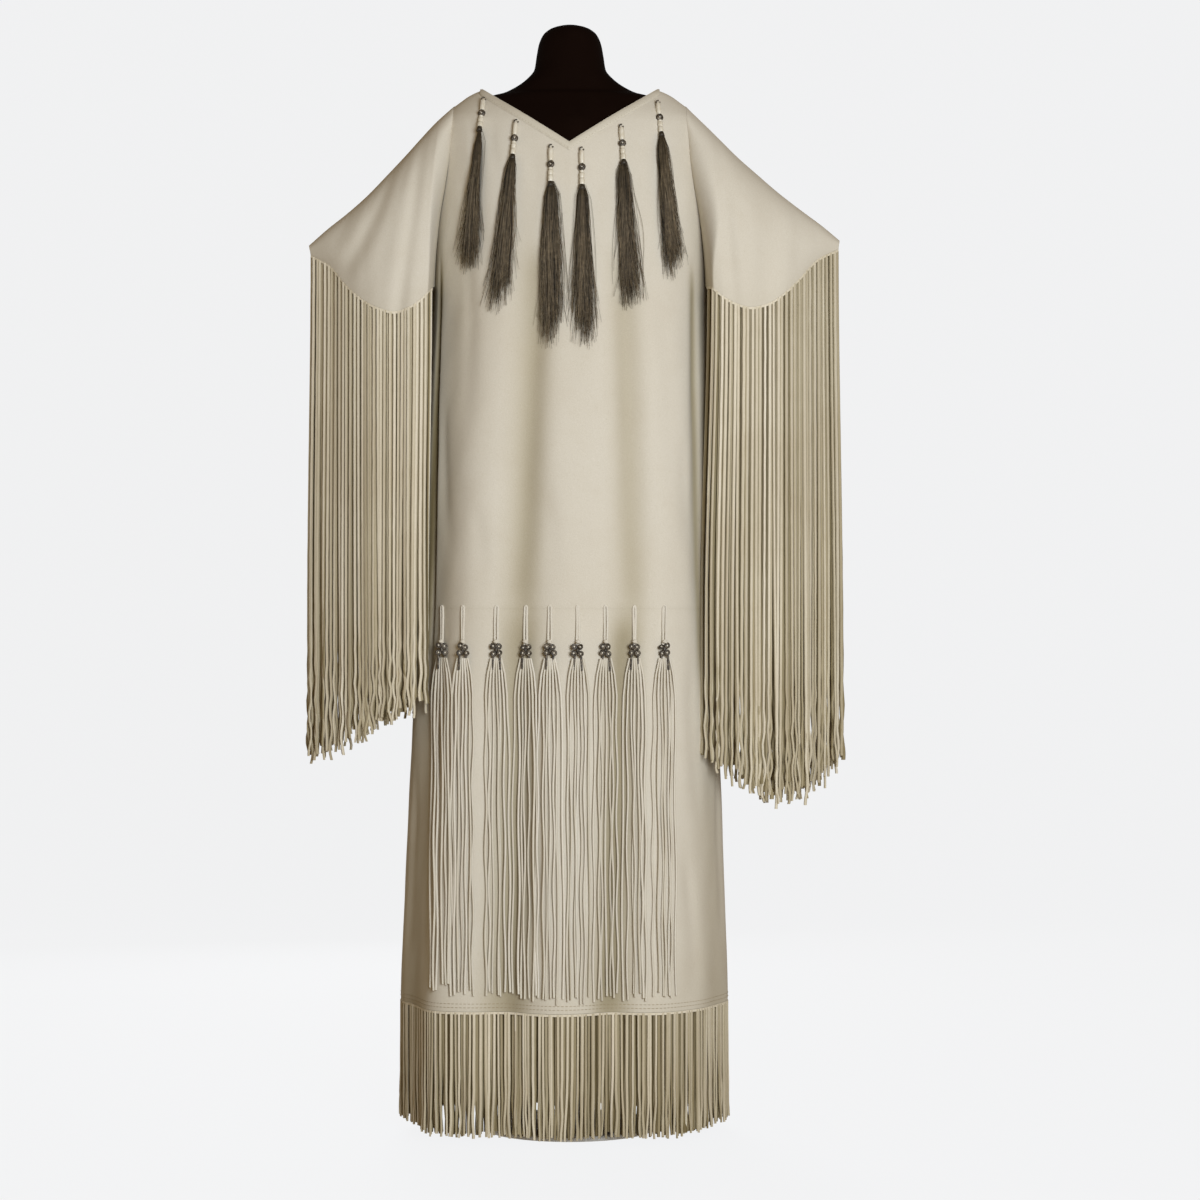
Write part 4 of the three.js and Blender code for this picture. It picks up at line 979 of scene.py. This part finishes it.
sleeveFringe = {"strands": 31, "width": 4.9, "depth": 3.0, "steps": 33, "wave": 2.6,
                "kinkFrom": 0.72, "turns": (9, 15), "drift": 1.8, "ragged": 12.0,
                "outward": 5.0, "lean": {"left": 4.0, "right": -10.0}, "clear": 6.0,
                "jitter": 0.17, "margin": 0.006, "widths": (0.76, 1.06), "tones": (0.86, 1.08)}
sleeveTips = {"share": [0, 0.25, 0.5, 0.75, 1], "left": [592, 580, 556, 532, 512],
              "right": [524, 488, 460, 468, 512]}
hemFringe = {"strands": 98, "width": 4.5, "depth": 2.6, "steps": 12, "wave": 1.3,
             "kinkFrom": 0.3, "turns": (1.2, 3.2), "drift": 1.5, "rise": 5.5,
             "stripHeight": 3.6, "jitter": 0.24, "margin": 0.003, "widths": (0.72, 1.1),
             "tones": (0.74, 1.07)}
rootRise = 2.5      # strands start this far up inside their strip
strand = {"spacing": 1.6, "kinkPower": 1.2, "leastKink": 0.08, "twist": 0.7, "rootTwist": 0.12,
          "tipWidth": 0.82, "tipDarker": 0.05}
# each fringe hangs in rows: how far along the pitch, how far behind, its tone and width
# rows behind get a darker tone: painted shade in the gaps between the strands in front
sleeveRows = [(0.0, 0.0, 1.04, 1.0), (0.5, 3.8, 0.76, 1.1), (0.25, 7.6, 0.5, 1.5)]
hemRows = [(0.0, 0.0, 1.0, 1.0), (0.5, 3.8, 0.62, 1.1), (0.25, 7.6, 0.36, 2.2)]


# The strip that the strands are cut from: the panel's edge, carried straight down.
def stripPart(outer, inner, top, drop, shade=1.0):
    def lowered(line, other, by):
        moved = line.copy()
        moved[:, 2] = np.minimum(line[:, 2], other[:, 2]) - by
        return moved
    rows = np.linspace(top, drop, 4)
    return wallPart(np.stack([lowered(outer, inner, by) for by in rows]),
                    np.stack([lowered(inner, outer, by) for by in rows]), shade)


# Shares for a row of strands: even steps, moved by the row's shift and a random jitter.
def rowShares(style, shift):
    count = style["strands"]
    shares = (np.arange(count) + 0.5 + 1.2 * (shift - 0.25)) / count
    shares = shares + draw.normal(0, style["jitter"], count) / count
    return np.clip(shares, style["margin"], 1 - style["margin"])


# Places and flat tangents at shares of the length of a line.
def alongLine(line, shares):
    length = lengthAlong(line)
    at = np.asarray(shares) * length[-1]
    point = np.stack([np.interp(at, length, line[:, k]) for k in range(3)], -1)
    ahead = np.stack([np.interp(at + 4, length, line[:, k]) for k in range(3)], -1)
    behind = np.stack([np.interp(at - 4, length, line[:, k]) for k in range(3)], -1)
    return point, unit((ahead - behind) * (1, 1, 0))


# Points inside the dress's section, widened by a clearance, go straight ahead or back to it.
def clearOfDress(points, clearance):
    z = points[..., 2]
    across = (points[..., 0] - section("centre", z)) / (section("halfWidth", z) + clearance)
    depth = np.where(points[..., 1] < 0, section("front", z), section("back", z)) + clearance
    least = depth * np.sqrt(np.clip(1 - across ** 2, 0, 1)) * smooth(-z, -1150, -1000)
    moved = points.copy()
    moved[..., 1] = np.sign(points[..., 1]) * np.maximum(np.abs(points[..., 1]), least)
    return moved


# Strands that hang from roots: straight at first, then kinked from a share of the way
# down, with a drift to one side and a slow twist of the cut face.
def strandPart(roots, tangent, tipZ, style, tone, wider, outward=0.0):
    count = len(roots)
    down = 1 - (1 - np.linspace(0, 1, style["steps"])[None, :]) ** strand["spacing"]
    grow = smooth(down, style["kinkFrom"], 1.0) ** strand["kinkPower"] + strand["leastKink"]

    def wave(size):
        turns = draw.uniform(*style["turns"], (count, 1))
        phase = draw.uniform(0, 2 * halfTurn, (count, 1))
        height = draw.uniform(0.2, 1.0, (count, 1)) * size
        return height * grow * np.sin(2 * halfTurn * turns * down + phase)

    aside = wave(style["wave"]) + draw.normal(0, style["drift"], (count, 1)) * down ** 2
    ahead = wave(style["wave"] * 0.8) + draw.normal(0, style["drift"], (count, 1)) * down ** 2
    away = np.stack((tangent[:, 1], -tangent[:, 0], np.zeros(count)), -1)
    paths = np.repeat(roots[:, None, :], style["steps"], axis=1)
    paths[..., 2] = mix(roots[:, 2:3], tipZ[:, None], down)
    paths = paths + aside[..., None] * tangent[:, None, :] + ahead[..., None] * away[:, None, :]
    spread = np.sign(roots[:, :1]) * np.reshape(outward, (-1, 1))
    paths[..., 0] += spread * smooth(down, 0, 0.7)
    paths = clearOfDress(paths, style["clear"]) if "clear" in style else paths
    twist = draw.normal(0, strand["twist"], (count, 1)) * down ** 2
    twist = twist + draw.normal(0, strand["rootTwist"], (count, 1))
    cos, sin = np.cos(twist)[..., None], np.sin(twist)[..., None]
    side = cos * tangent[:, None, :] + sin * away[:, None, :]
    out = cos * away[:, None, :] - sin * tangent[:, None, :]
    width = style["width"] * wider * draw.uniform(*style["widths"], (count, 1))
    width = width * mix(1.0, strand["tipWidth"], down ** 3)
    # a tone per row and a random tone per strand, a little darker towards the tips
    shade = tone * draw.uniform(*style["tones"], (count, 1)) * (1 - strand["tipDarker"] * down)
    return sweepPart(paths, side, out, thongProfile, width, style["depth"], shade, paintedEdgeShade)


for (side, facing), (outer, inner) in sleeveEdges.items():
    line = (outer + inner) / 2
    line[:, 2] = np.minimum(outer[:, 2], inner[:, 2]) - sleeve["stripHeight"]
    name = f"sleeve_fringe_{side}_{facing}"
    parts = [stripPart(outer, inner, 0.2, sleeve["stripHeight"])]
    lineX = np.abs(line[:, 0])
    length = lengthAlong(line)
    for shift, behind, tone, wider in sleeveRows:
        # roots evenly spaced across the sleeve as seen from in front
        place = rowShares(sleeveFringe, shift)
        shares = np.interp(mix(lineX[0], lineX[-1], place), lineX, length) / length[-1]
        roots, tangent = alongLine(line, shares)
        roots += (0, behind if facing == "front" else -behind, rootRise)
        tips = curveThrough(sleeveTips["share"], sleeveTips[side], place)
        tips = tips + draw.uniform(-1, 1, len(place)) * sleeveFringe["ragged"] + 2 * behind
        outward = sleeveFringe["outward"] * place ** 5
        outward = outward + sleeveFringe["lean"][side] * (1 - place) ** 4
        parts.append(strandPart(roots, tangent, tips, sleeveFringe, tone, wider, outward))
    makePiece(f"{name}_cut", parts, finishes["fringe"], [name])

for facing in ("front", "back"):
    turned = facingAngle(facing, np.linspace(-quarterTurn, quarterTurn, 220))
    outer = bodyPoint(turned, dress["hemZ"])
    flatNormal = unit(bodyNormal(turned, np.full(turned.shape, dress["hemZ"])) * (1, 1, 0))
    inner = outer - flatNormal * dress["hide"]
    line = (outer + inner) / 2
    line[:, 2] = dress["hemZ"] - hemFringe["stripHeight"]
    name = f"hem_fringe_{facing}"
    parts = [stripPart(outer, inner, 0.4, hemFringe["stripHeight"])]
    for shift, behind, tone, wider in hemRows:
        shares = rowShares(hemFringe, shift)
        roots, tangent = alongLine(line, shares)
        roots[:, 2] += rootRise
        inwards = np.stack((-tangent[:, 1], tangent[:, 0], np.zeros(len(shares))), -1)
        inwards = inwards * np.where(np.sum(inwards * roots, axis=1) > 0, -1, 1)[:, None]
        roots = roots + inwards * behind
        tips = dress["floorGap"] + draw.uniform(0, 1, len(shares)) ** 1.4 * hemFringe["rise"]
        tips = tips + 7 * smooth(np.abs(2 * shares - 1), 0.5, 1) + 0.5 * behind
        parts.append(strandPart(roots, tangent, tips, hemFringe, tone, wider))
    makePiece(f"{name}_cut", parts, finishes["fringe"], [name])
print("fringe made")

# ---- thong tassels and their beads along the hip seam

thong = {
    "x": [-175, -145, -99, -59, -26, 12, 50, 89, 130],
    "tipZ": [212, 204, 203, 201, 198, 197, 199, 200, 204],
    "laceTop": 732, "laceGaps": [2.4, 2.2, 4.0, 3.8, 4.4, 3.0, 3.6, 2.4, 4.0],
    "laceWidth": 3.0, "laceDepth": 2.2, "laceTone": 1.08, "loopTurns": [0, 0.4, 0.5, 0.6, 1],
    "loopDrop": 3.5, "laceZ": [676, 690, 732], "laceLifts": [7.0, 3.6, 1.2],
    "knotRise": 11.0, "knotRadius": 3.4, "knotHalfHeight": 3.0, "knotTone": 1.04,
    "middleZ": 671.5, "rootZ": 660, "strands": 7, "width": 3.3,
    "depth": 1.9, "steps": 36, "standOff": 3.4, "wave": 1.1, "hang": 7.0,
    # how far below the beads, and the pitch of the thongs there
    "fallen": [0, 22, 50, 120, 470], "pitch": [2.3, 3.9, 4.8, 5.0, 5.2],
}
cluster = {
    "ringWide": 2.9, "ringNarrow": 1.5, "tubes": [(-4.9, 20), (5.1, 22)],     # sideways, length
    "tube": [(0, 0.5), (0.0, 1.3), (0.08, 1.5), (0.92, 1.6), (1.0, 1.5), (1.0, 0.7)],
}
# four ring beads in a cluster: sideways, up, and how far each leans to the side and over
ringPlaces = [(-4.2, 4.6, -0.25, 0.2), (4.1, 4.3, 0.3, 0.1), (-4.3, -4.3, -0.1, -0.3),
              (4.4, -4.8, 0.2, -0.2)]
lightParts = []
for number, (x, tipZ, laceGap) in enumerate(zip(thong["x"], thong["tipZ"], thong["laceGaps"]), 1):
    hang = inFront(x, thong["middleZ"], thong["hang"])
    parts = []
    # the lace: a narrow loop out of the seam and down to the beads
    turn = np.linspace(0, 1, 25)
    bottom = thong["middleZ"] + 6
    loopX = x + laceGap / 2 * np.cos(halfTurn * np.clip((turn - 0.4) / 0.2, 0, 1) + halfTurn)
    loopX = loopX + 0.5 * np.sin(turn * 9 + number) * np.sin(halfTurn * turn)
    top = thong["laceTop"]
    bend = top - thong["loopDrop"]
    loopZ = np.interp(turn, thong["loopTurns"], [bottom, bend, top, bend, bottom])
    loop = inFront(loopX, loopZ, np.interp(loopZ, thong["laceZ"], thong["laceLifts"]))
    parts.append(sweepPart(loop[None], acrossX, towardsFront, roundProfile(6),
                           thong["laceWidth"], thong["laceDepth"], thong["laceTone"]))
    knot = hang + (draw.uniform(-0.6, 0.6), -0.8, thong["knotRise"])
    parts.append(ballPart(knot, thong["knotRadius"], thong["knotHalfHeight"], 12,
                          thong["knotTone"]))
    parts.append(ringPart(knot + (0, -0.6, -0.4), (0.25, -0.2, 1.0), 2.7, 1.15, 16, 8,
                          thong["knotTone"]))
    # thongs: they fan out under the tubes and hang straight along the skirt
    count = thong["strands"]
    place = (np.arange(count) - (count - 1) / 2)[:, None]
    down = np.linspace(0, 1, thong["steps"])[None, :] ** 1.25
    tips = tipZ + draw.uniform(-4, 8, (count, 1))
    z = mix(thong["rootZ"], tips, down)
    fallen = thong["rootZ"] - z
    spread = np.interp(fallen, thong["fallen"], thong["pitch"])
    phase = draw.uniform(0, 2 * halfTurn, (count, 2, 1))
    turns = draw.uniform(1.2, 4.0, (count, 2, 1))
    waves = thong["wave"] * np.sin(2 * halfTurn * turns[:, 0] * down + phase[:, 0])
    waves = waves * smooth(down, 0.02, 0.25)
    aside = place * spread + waves + draw.normal(0, 1.2, (count, 1)) * smooth(down, 0, 0.4)
    aside = aside + draw.uniform(-0.5, 1.5) * down
    lift = thong["standOff"] + (1.5 * (np.arange(count) % 2))[:, None]
    lift = lift + 0.6 * np.sin(2 * halfTurn * turns[:, 1] * down + phase[:, 1])
    lift = mix(thong["hang"] - 1, lift, smooth(down, 0, 0.14))
    paths = inFront(x + aside, z, lift)
    twist = draw.normal(0, 0.4, (count, 1)) * down + draw.normal(0, 0.12, (count, 1))
    zero = np.zeros_like(twist)
    sideways = np.stack((np.cos(twist), -np.sin(twist), zero), -1)
    outwards = np.stack((-np.sin(twist), -np.cos(twist), zero), -1)
    width = thong["width"] * draw.uniform(0.8, 1.1, (count, 1)) * np.ones_like(down)
    tone = draw.uniform(1.02, 1.16, (count, 1)) * np.ones_like(down)
    parts.append(sweepPart(paths, sideways, outwards, thongProfile, width, thong["depth"], tone,
                           paintedEdgeShade))
    makePiece(f"thongs_{number}", parts, finishes["trim"],
              [f"thong_tassel_{number}"])
    # beads: two rows of tarnished rings seen face on, then two small tubes
    rows = []
    for aside, rise, lean, over in ringPlaces:
        lean, over = np.array((lean, over)) + draw.normal(0, 0.35, 2)
        centre = hang + (aside * 0.95, -2.2, rise) + draw.normal(0, 0.6, 3)
        face = np.array((lean, -1.0, over))
        rows.append(ringPart(centre, face, cluster["ringWide"], cluster["ringNarrow"], 18, 10))
        lightParts.append(ballPart(centre + (0, -0.1, 0), 1.35, 1.4, 8))
    for offset, length in cluster["tubes"]:
        start = hang + (offset * 0.85, -0.8, -6.5)
        end = start + (offset * 0.22, 1.2, -length + draw.uniform(-1.5, 1.5))
        rows.append(turnedPart(start, end, cluster["tube"], 10))
    rows.append(ballPart(hang + (0.0, 0.8, 0.0), 2.6, 7.0, 10))
    makePiece(f"metal_beads_{number}", rows, finishes["metal"],
              [f"bead_cluster_{number}"])
print("thong tassels made")

# ---- bone drops and hair tassels below the neckline

hair = {
    "knotX": [-119, -73, -25, 17, 71, 122], "knotZ": [1435, 1398, 1361, 1357, 1391, 1430],
    "endX": [-143, -94, -27, 20, 86, 144], "endZ": [1196, 1148, 1102, 1098, 1150, 1190],
    "rootHalf": [3.6, 4.2, 5.0, 4.6, 4.6, 3.6], "tipHalf": [8.5, 10.0, 11.0, 10.0, 10.0, 8.5],
    "dropLength": 54.0, "hairs": 290, "coarse": 70, "locks": 19, "steps": 11,
    "thickness": 0.55, "coarseThickness": 0.85, "standOff": 8.5, "flyaways": 0.10,
    "lockSpread": 0.46, "lockSweep": 3.4, "bend": 1.3, "strayMiddle": 2.9, "strayTip": 5.0,
}
# the bone and shell beads of a drop, as (share of the bead, radius), and their places on it
tubeEnd = [(0, 1.2), (0, 2.8), (0.04, 3.3), (0.3, 3.7), (0.7, 3.6), (0.96, 3.2), (1, 2.7), (1, 1.2)]
discEnd = [(0, 1.0), (0.08, 2.2), (0.3, 3.1), (0.7, 3.1), (0.92, 2.2), (1, 1.0)]
wrapEnd = [(0, 1.5), (0.05, 3.2), (0.5, 3.9), (0.95, 4.1), (1, 2.0)]
dropBeads = [(5, 23.5, tubeEnd, 16), (33.0, 36.6, discEnd, 14), (37.0, 44.5, tubeEnd, 14),
             (44.8, hair["dropLength"], tubeEnd, 14)]
darkBeadAt = 28.4
darkParts = []
for number in range(1, 7):
    knot = np.array([hair["knotX"][number - 1], hair["knotZ"][number - 1]], float)
    tip = np.array([hair["endX"][number - 1], hair["endZ"][number - 1]], float)
    full = float(np.linalg.norm(tip - knot))

    def dropPlace(t, aside=0.0, lift=hair["standOff"]):
        return inFront(mix(knot[0], tip[0], t) + aside, mix(knot[1], tip[1], t), lift)

    start, end = dropPlace(0.0, 0.0, 6.0), dropPlace(hair["dropLength"] / full)
    axis = unit(end - start)

    def at(distance):
        return start + axis * distance

    bone = [turnedPart(at(top), at(foot), profile, sides) for top, foot, profile, sides in dropBeads]
    bone.append(ballPart(at(darkBeadAt) + (0.2, -1.5, 0.3), 1.1, 1.1, 10))
    makePiece(f"bone_drop_{number}", bone, finishes["bone"], [f"bead_drop_{number}"])
    face = (draw.uniform(-0.3, 0.3), -1.0, 0.15)
    darkParts.append(ringPart(at(darkBeadAt), face, 2.6, 2.7, 20, 10))
    # the dark thong knotted above the tube: a small open loop into the hide
    turn = np.linspace(0, 1, 15)[:, None]
    sideways = unit(np.cross((0.0, 1.0, 0.0), axis))
    loop = (start + sideways * 2.7 * np.sin(halfTurn * 1.7 * turn - 0.5)
            - axis * (2.7 * np.cos(halfTurn * 1.7 * turn - 0.5) - 2.4)
            + np.array([0, 1.0, 0]) * 3.5 * turn ** 2)
    bend = unit(np.gradient(loop, axis=0))
    out = unit(np.cross(bend, (0.0, 1.0, 0.0)))
    darkParts.append(sweepPart(loop[None], out[None], np.cross(bend, out)[None],
                               roundProfile(8), 1.9, 1.9))
    # hair: each one leaves the head at its own place, spreads and ends at its own length
    count = hair["hairs"] + hair["coarse"]
    isCoarse = np.arange(count)[:, None] >= hair["hairs"]
    down = np.linspace(0, 1, hair["steps"])[None, :]
    loose = draw.random((count, 1)) < hair["flyaways"]
    # hairs hang in locks, each with its own place, length and sweep
    lock = draw.integers(0, hair["locks"], (count, 1))
    lockPlace = draw.normal(0, hair["lockSpread"], hair["locks"])
    lockLength = draw.uniform(0.86, 1.08, hair["locks"])
    lockSweep = draw.normal(0, hair["lockSweep"], hair["locks"]) + 3.0 * lockPlace
    place = lockPlace[lock] + draw.normal(0, 0.2, (count, 1))
    place = np.clip(place, -1.3, 1.3) * np.where(loose, 1.5, 1.0)
    layer = np.where(isCoarse, draw.uniform(0.6, 1.1, (count, 1)), draw.random((count, 1)))
    length = lockLength[lock] + 0.03 - draw.beta(1.0, 2.4, (count, 1)) * 0.36
    rootShare = (hair["dropLength"] - 2.5) / full
    t = mix(rootShare, 1.0, down * length)
    widened = smooth(down, -0.3, 0.62) * 0.78 + 0.22 * down
    half = mix(hair["rootHalf"][number - 1], hair["tipHalf"][number - 1], widened)
    half = mix(2.2, half, smooth(down, -0.02, 0.10))
    bendSize = draw.normal(0, hair["bend"], (count, 1))
    aside = place * half + bendSize * np.sin(halfTurn * down * draw.uniform(1, 3, (count, 1)))
    aside = aside + lockSweep[lock] * smooth(down, 0.3, 1.1) ** 1.5
    aside = aside + draw.normal(0, hair["strayMiddle"], (count, 1)) * smooth(down, 0.1, 0.7)
    aside = aside + draw.normal(0, hair["strayTip"], (count, 1)) * smooth(down, 0.5, 1.1) ** 2
    bulge = np.sqrt(np.clip(1 - (place / 1.5) ** 2, 0, 1))
    lift = hair["standOff"] - 4.5 + (layer - 0.2) * 9.5 * bulge * smooth(down, -0.1, 0.12)
    lift = lift * mix(1.0, 0.72, smooth(down, 0.4, 1.0)) + 2.0 * (1 - smooth(down, 0, 0.1))
    paths = inFront(mix(knot[0], tip[0], t) + aside, mix(knot[1], tip[1], t), lift)
    size = np.where(isCoarse, hair["coarseThickness"], hair["thickness"])
    size = size * draw.uniform(0.8, 1.2, (count, 1)) * mix(1.0, 0.6, down ** 3)
    tone = np.where(isCoarse, draw.uniform(0.35, 1.0, (count, 1)), draw.random((count, 1)) ** 1.5)
    tone = tone * mix(0.45, 1.0, smooth(down, 0, 0.6))
    wrap = turnedPart(at(hair["dropLength"] - 0.6), at(hair["dropLength"] + 7), wrapEnd, 14, 0.1)
    hairParts = [wrap, sweepPart(paths, acrossX, towardsFront, roundProfile(3), size, size, tone)]
    makePiece(f"horsehair_{number}", hairParts, finishes["hair"],
              [f"hair_tassel_{number}"], 180)
makePiece("drop_dark_beads", darkParts, finishes["metal"])
makePiece("cluster_light_beads", lightParts, finishes["bone"])
print("hair tassels made")

# ---- dress form and stand

form = {
    "z": [780, 860, 950, 1040, 1130, 1230, 1350, 1385, 1402, 1416, 1428, 1437, 1444, 1449, 1469,
          1482, 1500, 1516, 1530, 1539, 1543],
    "halfWidth": [158, 166, 150, 126, 140, 160, 176, 177, 172, 162, 148, 134, 111, 92, 60, 50,
                  47, 44, 38, 27, 14],
    "front": [98, 104, 98, 88, 96, 107, 100, 89, 79, 68, 58, 52, 48, 42, 47, 48, 48, 46, 40,
              29, 15],
    "back": [100, 108, 102, 84, 86, 94, 90, 81, 72, 63, 55, 50, 47, 44, 49, 50, 50, 48, 42,
             31, 16],
    "shift": [0, 0, 0, 0, 0, 0, 0, 0, 0, 0, 0, 0, 1, 2, 4, 5, 5, 5, 5, 5, 5],
    "rings": 150, "sides": 96,
}
# the pole and the plate as (share of the height, radius), 0.4 clear of what they meet
stand = {
    "plateHeight": 8.0, "gap": 0.4, "poleSides": 64, "plateSides": 96,
    "pole": [(0, 15.0), (0.0, 22.0), (0.012, 22.0), (0.018, 16.0), (0.97, 16.0), (0.975, 20.0),
             (1.0, 20.0), (1.0, 12.0)],
    "plate": [(0, 20.0), (0, 119.0), (0.12, 120.0), (0.7, 120.0), (0.85, 119.4), (1.0, 117.6),
              (1.0, 20.0)],
}

low = np.linspace(form["z"][0], 1425, form["rings"] - 50)
ringZ = np.concatenate((low, np.linspace(1426, form["z"][-1], 50)))[:, None]
turn = (2 * halfTurn * np.arange(form["sides"]) / form["sides"])[None, :]
cells = {name: curveThrough(form["z"], form[name], ringZ)
         for name in ("halfWidth", "front", "back", "shift")}
depth = np.where(np.cos(turn) > 0, cells["front"], cells["back"])
rings = np.stack(np.broadcast_arrays(cells["halfWidth"] * np.sin(turn),
                                     cells["shift"] - depth * np.cos(turn), ringZ), -1)
formPart = (rings.reshape(-1, 3), tubeFaces(numbered(rings[None])), 1.0)
makePiece("form_jersey_cover", [formPart], finishes["jersey"], ["torso_form"])
pole = turnedPart((0, 0, stand["plateHeight"] + stand["gap"]),
                  (0, 0, form["z"][0] - stand["gap"]), stand["pole"], stand["poleSides"])
makePiece("stand_tube", [pole], finishes["steel"], ["stand_pole"])
plate = turnedPart((0, 0, 0), (0, 0, stand["plateHeight"]), stand["plate"], stand["plateSides"])
makePiece("stand_disc", [plate], finishes["steel"], ["stand_plate"])
print("form and stand made")

# ---- stage, lights and camera

# Floor and backdrop in one sweep: level, then a quarter circle, then upright.
bendTurn = np.linspace(0, quarterTurn, 24)
radius = studio["sweepRadius"]
sweepY = np.concatenate(([studio["floorFront"]], studio["floorBack"] + radius * np.sin(bendTurn),
                         [studio["floorBack"] + radius]))
sweepZ = np.concatenate(([0.0], radius - radius * np.cos(bendTurn), [studio["wallTop"]]))
sweepX = np.linspace(-studio["floorHalfWidth"], studio["floorHalfWidth"], 5)
points = np.stack(np.broadcast_arrays(sweepX[None, :], sweepY[:, None], sweepZ[:, None]), -1)
quads = gridQuads(numbered(points).T)
paperMesh = bpy.data.meshes.new("paper_sweep")
paperMesh.from_pydata(points.reshape(-1, 3).tolist(), [], quads.tolist())
paperMesh.polygons.foreach_set("use_smooth", np.ones(len(quads), dtype=bool))
paper = bpy.data.objects.new("paper_sweep", paperMesh)
bpy.context.scene.collection.objects.link(paper)
paperFinish, tree, shader, place = startMaterial("pale_paper", studio["paper"])
bumpChain(tree, shader, [(noiseNode(tree, place, 90.0), 0.05, 0.0005)])
paperMesh.materials.append(paperFinish)
paper.visible_diffuse = False      # the paper glows by itself and throws no light on the hide

# The room gives a low warm light, and shows as pale as the backdrop where it is seen.
world = bpy.data.worlds.new("soft_room")
world.use_nodes = True
tree = world.node_tree
warm = tree.nodes["Background"]
warm.inputs["Color"].default_value = rgba(studio["worldColour"])
warm.inputs["Strength"].default_value = studio["worldStrength"]
pale = addNode(tree, "ShaderNodeBackground", {"Color": rgba(studio["backdrop"])})
seen = addNode(tree, "ShaderNodeLightPath").outputs["Is Camera Ray"]
either = addNode(tree, "ShaderNodeMixShader", {0: seen, 1: warm.outputs[0], 2: pale.outputs[0]})
tree.links.new(either.outputs[0], tree.nodes["World Output"].inputs["Surface"])
bpy.context.scene.world = world


# Tilt: the angle of level distance to height. Turn: that of the two level distances.
def aimed(thing, place, aim):
    thing.location = place
    away = np.array(place) - np.array(aim)
    level = math.hypot(away[0], away[1])
    thing.rotation_euler = (math.atan2(level, away[2]), 0, math.atan2(away[0], -away[1]))


for light in studio["lights"]:
    lamp = bpy.data.lights.new(light["name"], "AREA")
    lamp.shape = "DISK"
    lamp.size = light["size"]
    lamp.energy = light["power"]
    lamp.color = light["colour"]
    holder = bpy.data.objects.new(light["name"], lamp)
    aimed(holder, light["place"], light["aim"])
    holder.visible_camera = False
    bpy.context.scene.collection.objects.link(holder)

lens = bpy.data.cameras.new("camera")
lens.lens = studio["lens"]
lens.sensor_width = studio["sensorWidth"]
lens.sensor_fit = "HORIZONTAL"
camera = bpy.data.objects.new("camera", lens)
camera.location = studio["cameraPlace"]
camera.rotation_euler = (quarterTurn, 0, 0)
bpy.context.scene.collection.objects.link(camera)
bpy.context.scene.camera = camera
bpy.context.scene.view_settings.view_transform = "Standard"
bpy.context.scene.view_settings.look = "None"
print("stage, lights and camera made")

bpy.context.view_layer.update()
